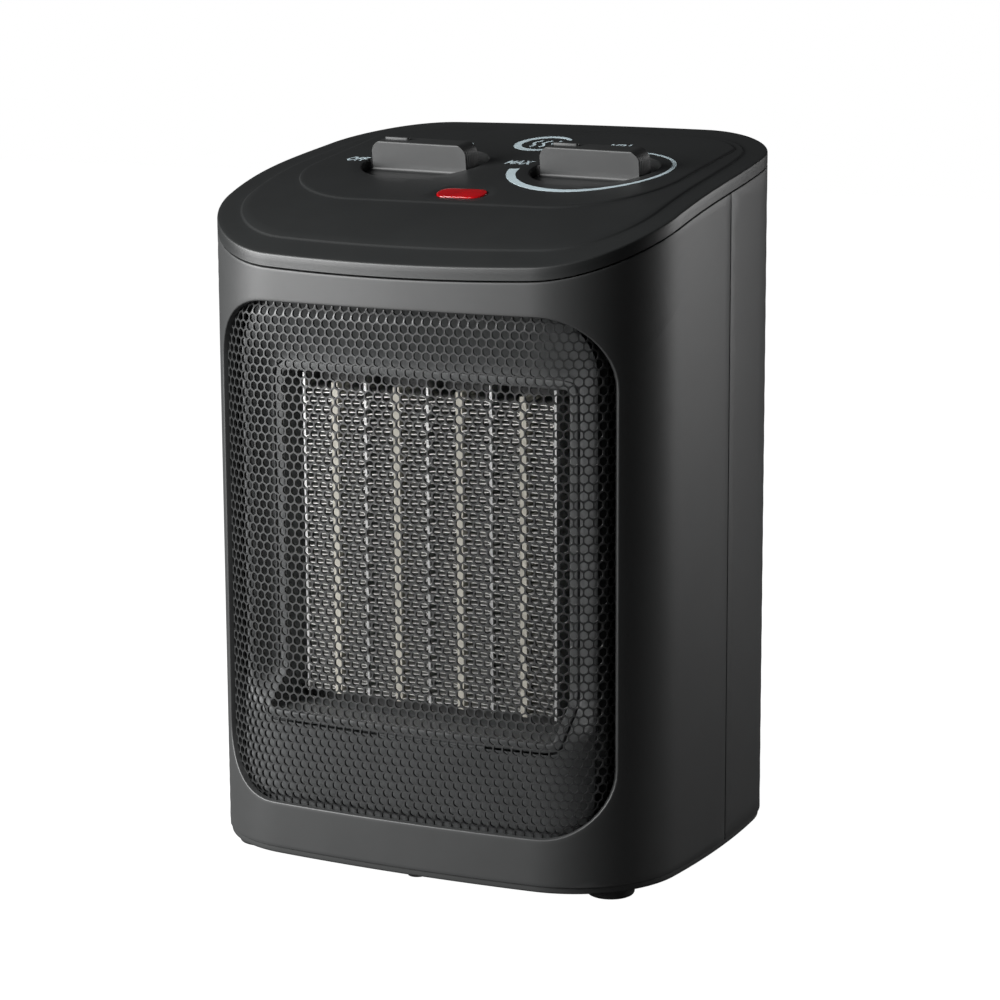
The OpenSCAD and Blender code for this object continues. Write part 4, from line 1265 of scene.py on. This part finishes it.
def impeller():
    """Seven cambered blades that sweep from the hub, and a hub with a rounded nose."""
    low, high = node_box("impeller")
    hub_r, blade_r, count = 17, (high.x - low.x) / 2, 7
    y0, y1 = 3, 23
    net = Net()
    along, across = 10, 14
    thick, bulge, lift = 1.6, 3.2, 0.3
    for k in range(count):
        turn = Matrix.Rotation(2 * math.pi * k / count, 4, "Y")
        rings = []
        for i in range(along + 1):
            share = i / along
            r = hub_r - 1 + (blade_r - lift - hub_r + 1) * share
            # Widens outwards from 27 mm, and is cut back near the tip
            chord = 27 + 9 * math.sin(math.pi * min(1, share * 1.1) / 2) - 120 * max(0, share - 0.8) ** 2
            pitch = math.radians(48 - 14 * share)
            lean = math.radians(16 * share)
            section = []
            for side in (1, -1):
                for j in range(across + 1):
                    u = j / across if side > 0 else 1 - j / across
                    camber = bulge * math.sin(math.pi * u)
                    half = thick / 2 * math.sqrt(max(0.02, math.sin(math.pi * u)))
                    tangent = chord * (u - 0.5)
                    t = tangent * math.cos(pitch) - (camber + side * half) * math.sin(pitch)
                    y = tangent * math.sin(pitch) + (camber + side * half) * math.cos(pitch)
                    y = min(max(y + (y0 + y1) / 2, y0 + lift), y1 - lift)
                    a = lean + t / r
                    section.append(turn @ Vector((r * math.cos(a), y, r * math.sin(a))))
            rings.append(net.ring([(p.x, p.y, p.z + CORE_Z) for p in section]))
        net.bridge(rings)
        net.cap(rings[0])
        net.cap(rings[-1])
    net.make("impeller_blades", "fan_rotor", FINISHES["impeller_plastic"], "impeller_plastic", ["impeller"])
    bore, nose, skin, boss_r, length = 2.05, 3, 2, 5, y1 - y0
    profile = [(bore, 0), (hub_r - nose, 0)]
    profile += [(hub_r - nose + nose * math.sin(a), nose - nose * math.cos(a))
                for a in (math.pi / 2 * i / 5 for i in range(1, 6))]
    profile += [(hub_r, length), (hub_r - skin, length), (hub_r - skin, nose), (boss_r, nose),
                (boss_r, length - 2), (bore, length - 2)]
    matrix = Matrix.Translation((0, y0, CORE_Z)) @ Matrix.Rotation(-math.pi / 2, 4, "X")
    turned("impeller_hub", profile, "fan_rotor", FINISHES["impeller_plastic"], matrix, "impeller_plastic",
           capped=False)


impeller()


# ---- Camera, light and floor --------------------------------------------------------------------


CAMERA_SPOT = (0.5209, -1.0257, 0.3548)
CAMERA_TURN = (26.922, 11.104, -0.283)


def bearing(azimuth, elevation):
    """Unit vector towards the camera or a light at that azimuth and elevation, in radians."""
    level = math.cos(elevation)
    return Vector((math.sin(azimuth) * level, -math.cos(azimuth) * level, math.sin(elevation)))


def camera():
    """The photo's view; CAMERA_TURN holds its azimuth, elevation and roll in degrees."""
    data = bpy.data.cameras.new("camera")
    data.sensor_width = 36
    data.lens = 110.91
    data.shift_x = 0.006
    data.shift_y = 0.00235
    data.clip_start = 0.05
    made = placed("camera", data)
    azimuth, elevation, roll = (math.radians(a) for a in CAMERA_TURN)
    back = bearing(azimuth, elevation)
    right = Vector((math.cos(azimuth), math.sin(azimuth), 0))
    up = back.cross(right)
    turned_right = right * math.cos(roll) + up * math.sin(roll)
    turned_up = up * math.cos(roll) - right * math.sin(roll)
    made.matrix_world = Matrix.Translation(CAMERA_SPOT) @ Matrix(
        (turned_right, turned_up, back)).transposed().to_4x4()
    bpy.context.scene.camera = made


def softbox(name, azimuth, elevation, distance, width, height, power, target=(0, 0, 0.13)):
    data = bpy.data.lights.new(name, "AREA")
    data.shape = "RECTANGLE"
    data.size = width
    data.size_y = height
    data.energy = power
    made = placed(name, data)
    back = bearing(math.radians(azimuth), math.radians(elevation))
    facing = back.to_track_quat("Z", "Y").to_matrix().to_4x4()
    made.matrix_world = Matrix.Translation(Vector(target) + back * distance) @ facing


def studio():
    world = bpy.data.worlds.new("studio")
    world.use_nodes = True
    tree = world.node_tree
    backdrop = tree.nodes["Background"]
    backdrop.inputs["Color"].default_value = (1, 1, 1, 1)
    dim = add_node(tree, "ShaderNodeBackground", Color=(0.75, 0.77, 0.8, 1), Strength=0.045)
    mix = add_node(tree, "ShaderNodeMixShader")
    path = add_node(tree, "ShaderNodeLightPath")
    tree.links.new(path.outputs["Is Camera Ray"], mix.inputs["Fac"])
    tree.links.new(dim.outputs["Background"], mix.inputs[1])
    tree.links.new(backdrop.outputs["Background"], mix.inputs[2])
    tree.links.new(mix.outputs["Shader"], tree.nodes["World Output"].inputs["Surface"])
    bpy.context.scene.world = world

    softbox("key", -46, 20, 1.1, 0.7, 0.8, 32)
    softbox("side", 137, 1, 1.7, 0.6, 1.8, 21)
    bpy.context.scene.view_settings.view_transform = "Standard"


def floor():
    net = Net()
    size = 2500
    corners = net.ring([(-size, -size, 0), (size, -size, 0), (size, size, 0), (-size, size, 0)])
    net.cap(corners)
    mesh = bpy.data.meshes.new("floor")
    mesh.from_pydata([Vector(p) * MM for p in net.points], [], net.faces)
    made = placed("floor", mesh)
    pale = bpy.data.materials.new("floor_paper")
    pale.use_nodes = True
    tree = pale.node_tree
    shader = tree.nodes["Principled BSDF"]
    shader.inputs["Base Color"].default_value = (0.12, 0.12, 0.12, 1)
    shader.inputs["Roughness"].default_value = 0.9
    shader.inputs["Specular IOR Level"].default_value = 0.1
    glow = add_node(tree, "ShaderNodeEmission", Strength=1.0)
    both = add_node(tree, "ShaderNodeAddShader")
    seen = add_node(tree, "ShaderNodeMixShader")
    path = add_node(tree, "ShaderNodeLightPath")
    tree.links.new(shader.outputs["BSDF"], both.inputs[0])
    tree.links.new(glow.outputs["Emission"], both.inputs[1])
    tree.links.new(path.outputs["Is Camera Ray"], seen.inputs["Fac"])
    tree.links.new(shader.outputs["BSDF"], seen.inputs[1])
    tree.links.new(both.outputs["Shader"], seen.inputs[2])
    tree.links.new(seen.outputs["Shader"], tree.nodes["Material Output"].inputs["Surface"])
    mesh.materials.append(pale)


camera()
studio()
floor()
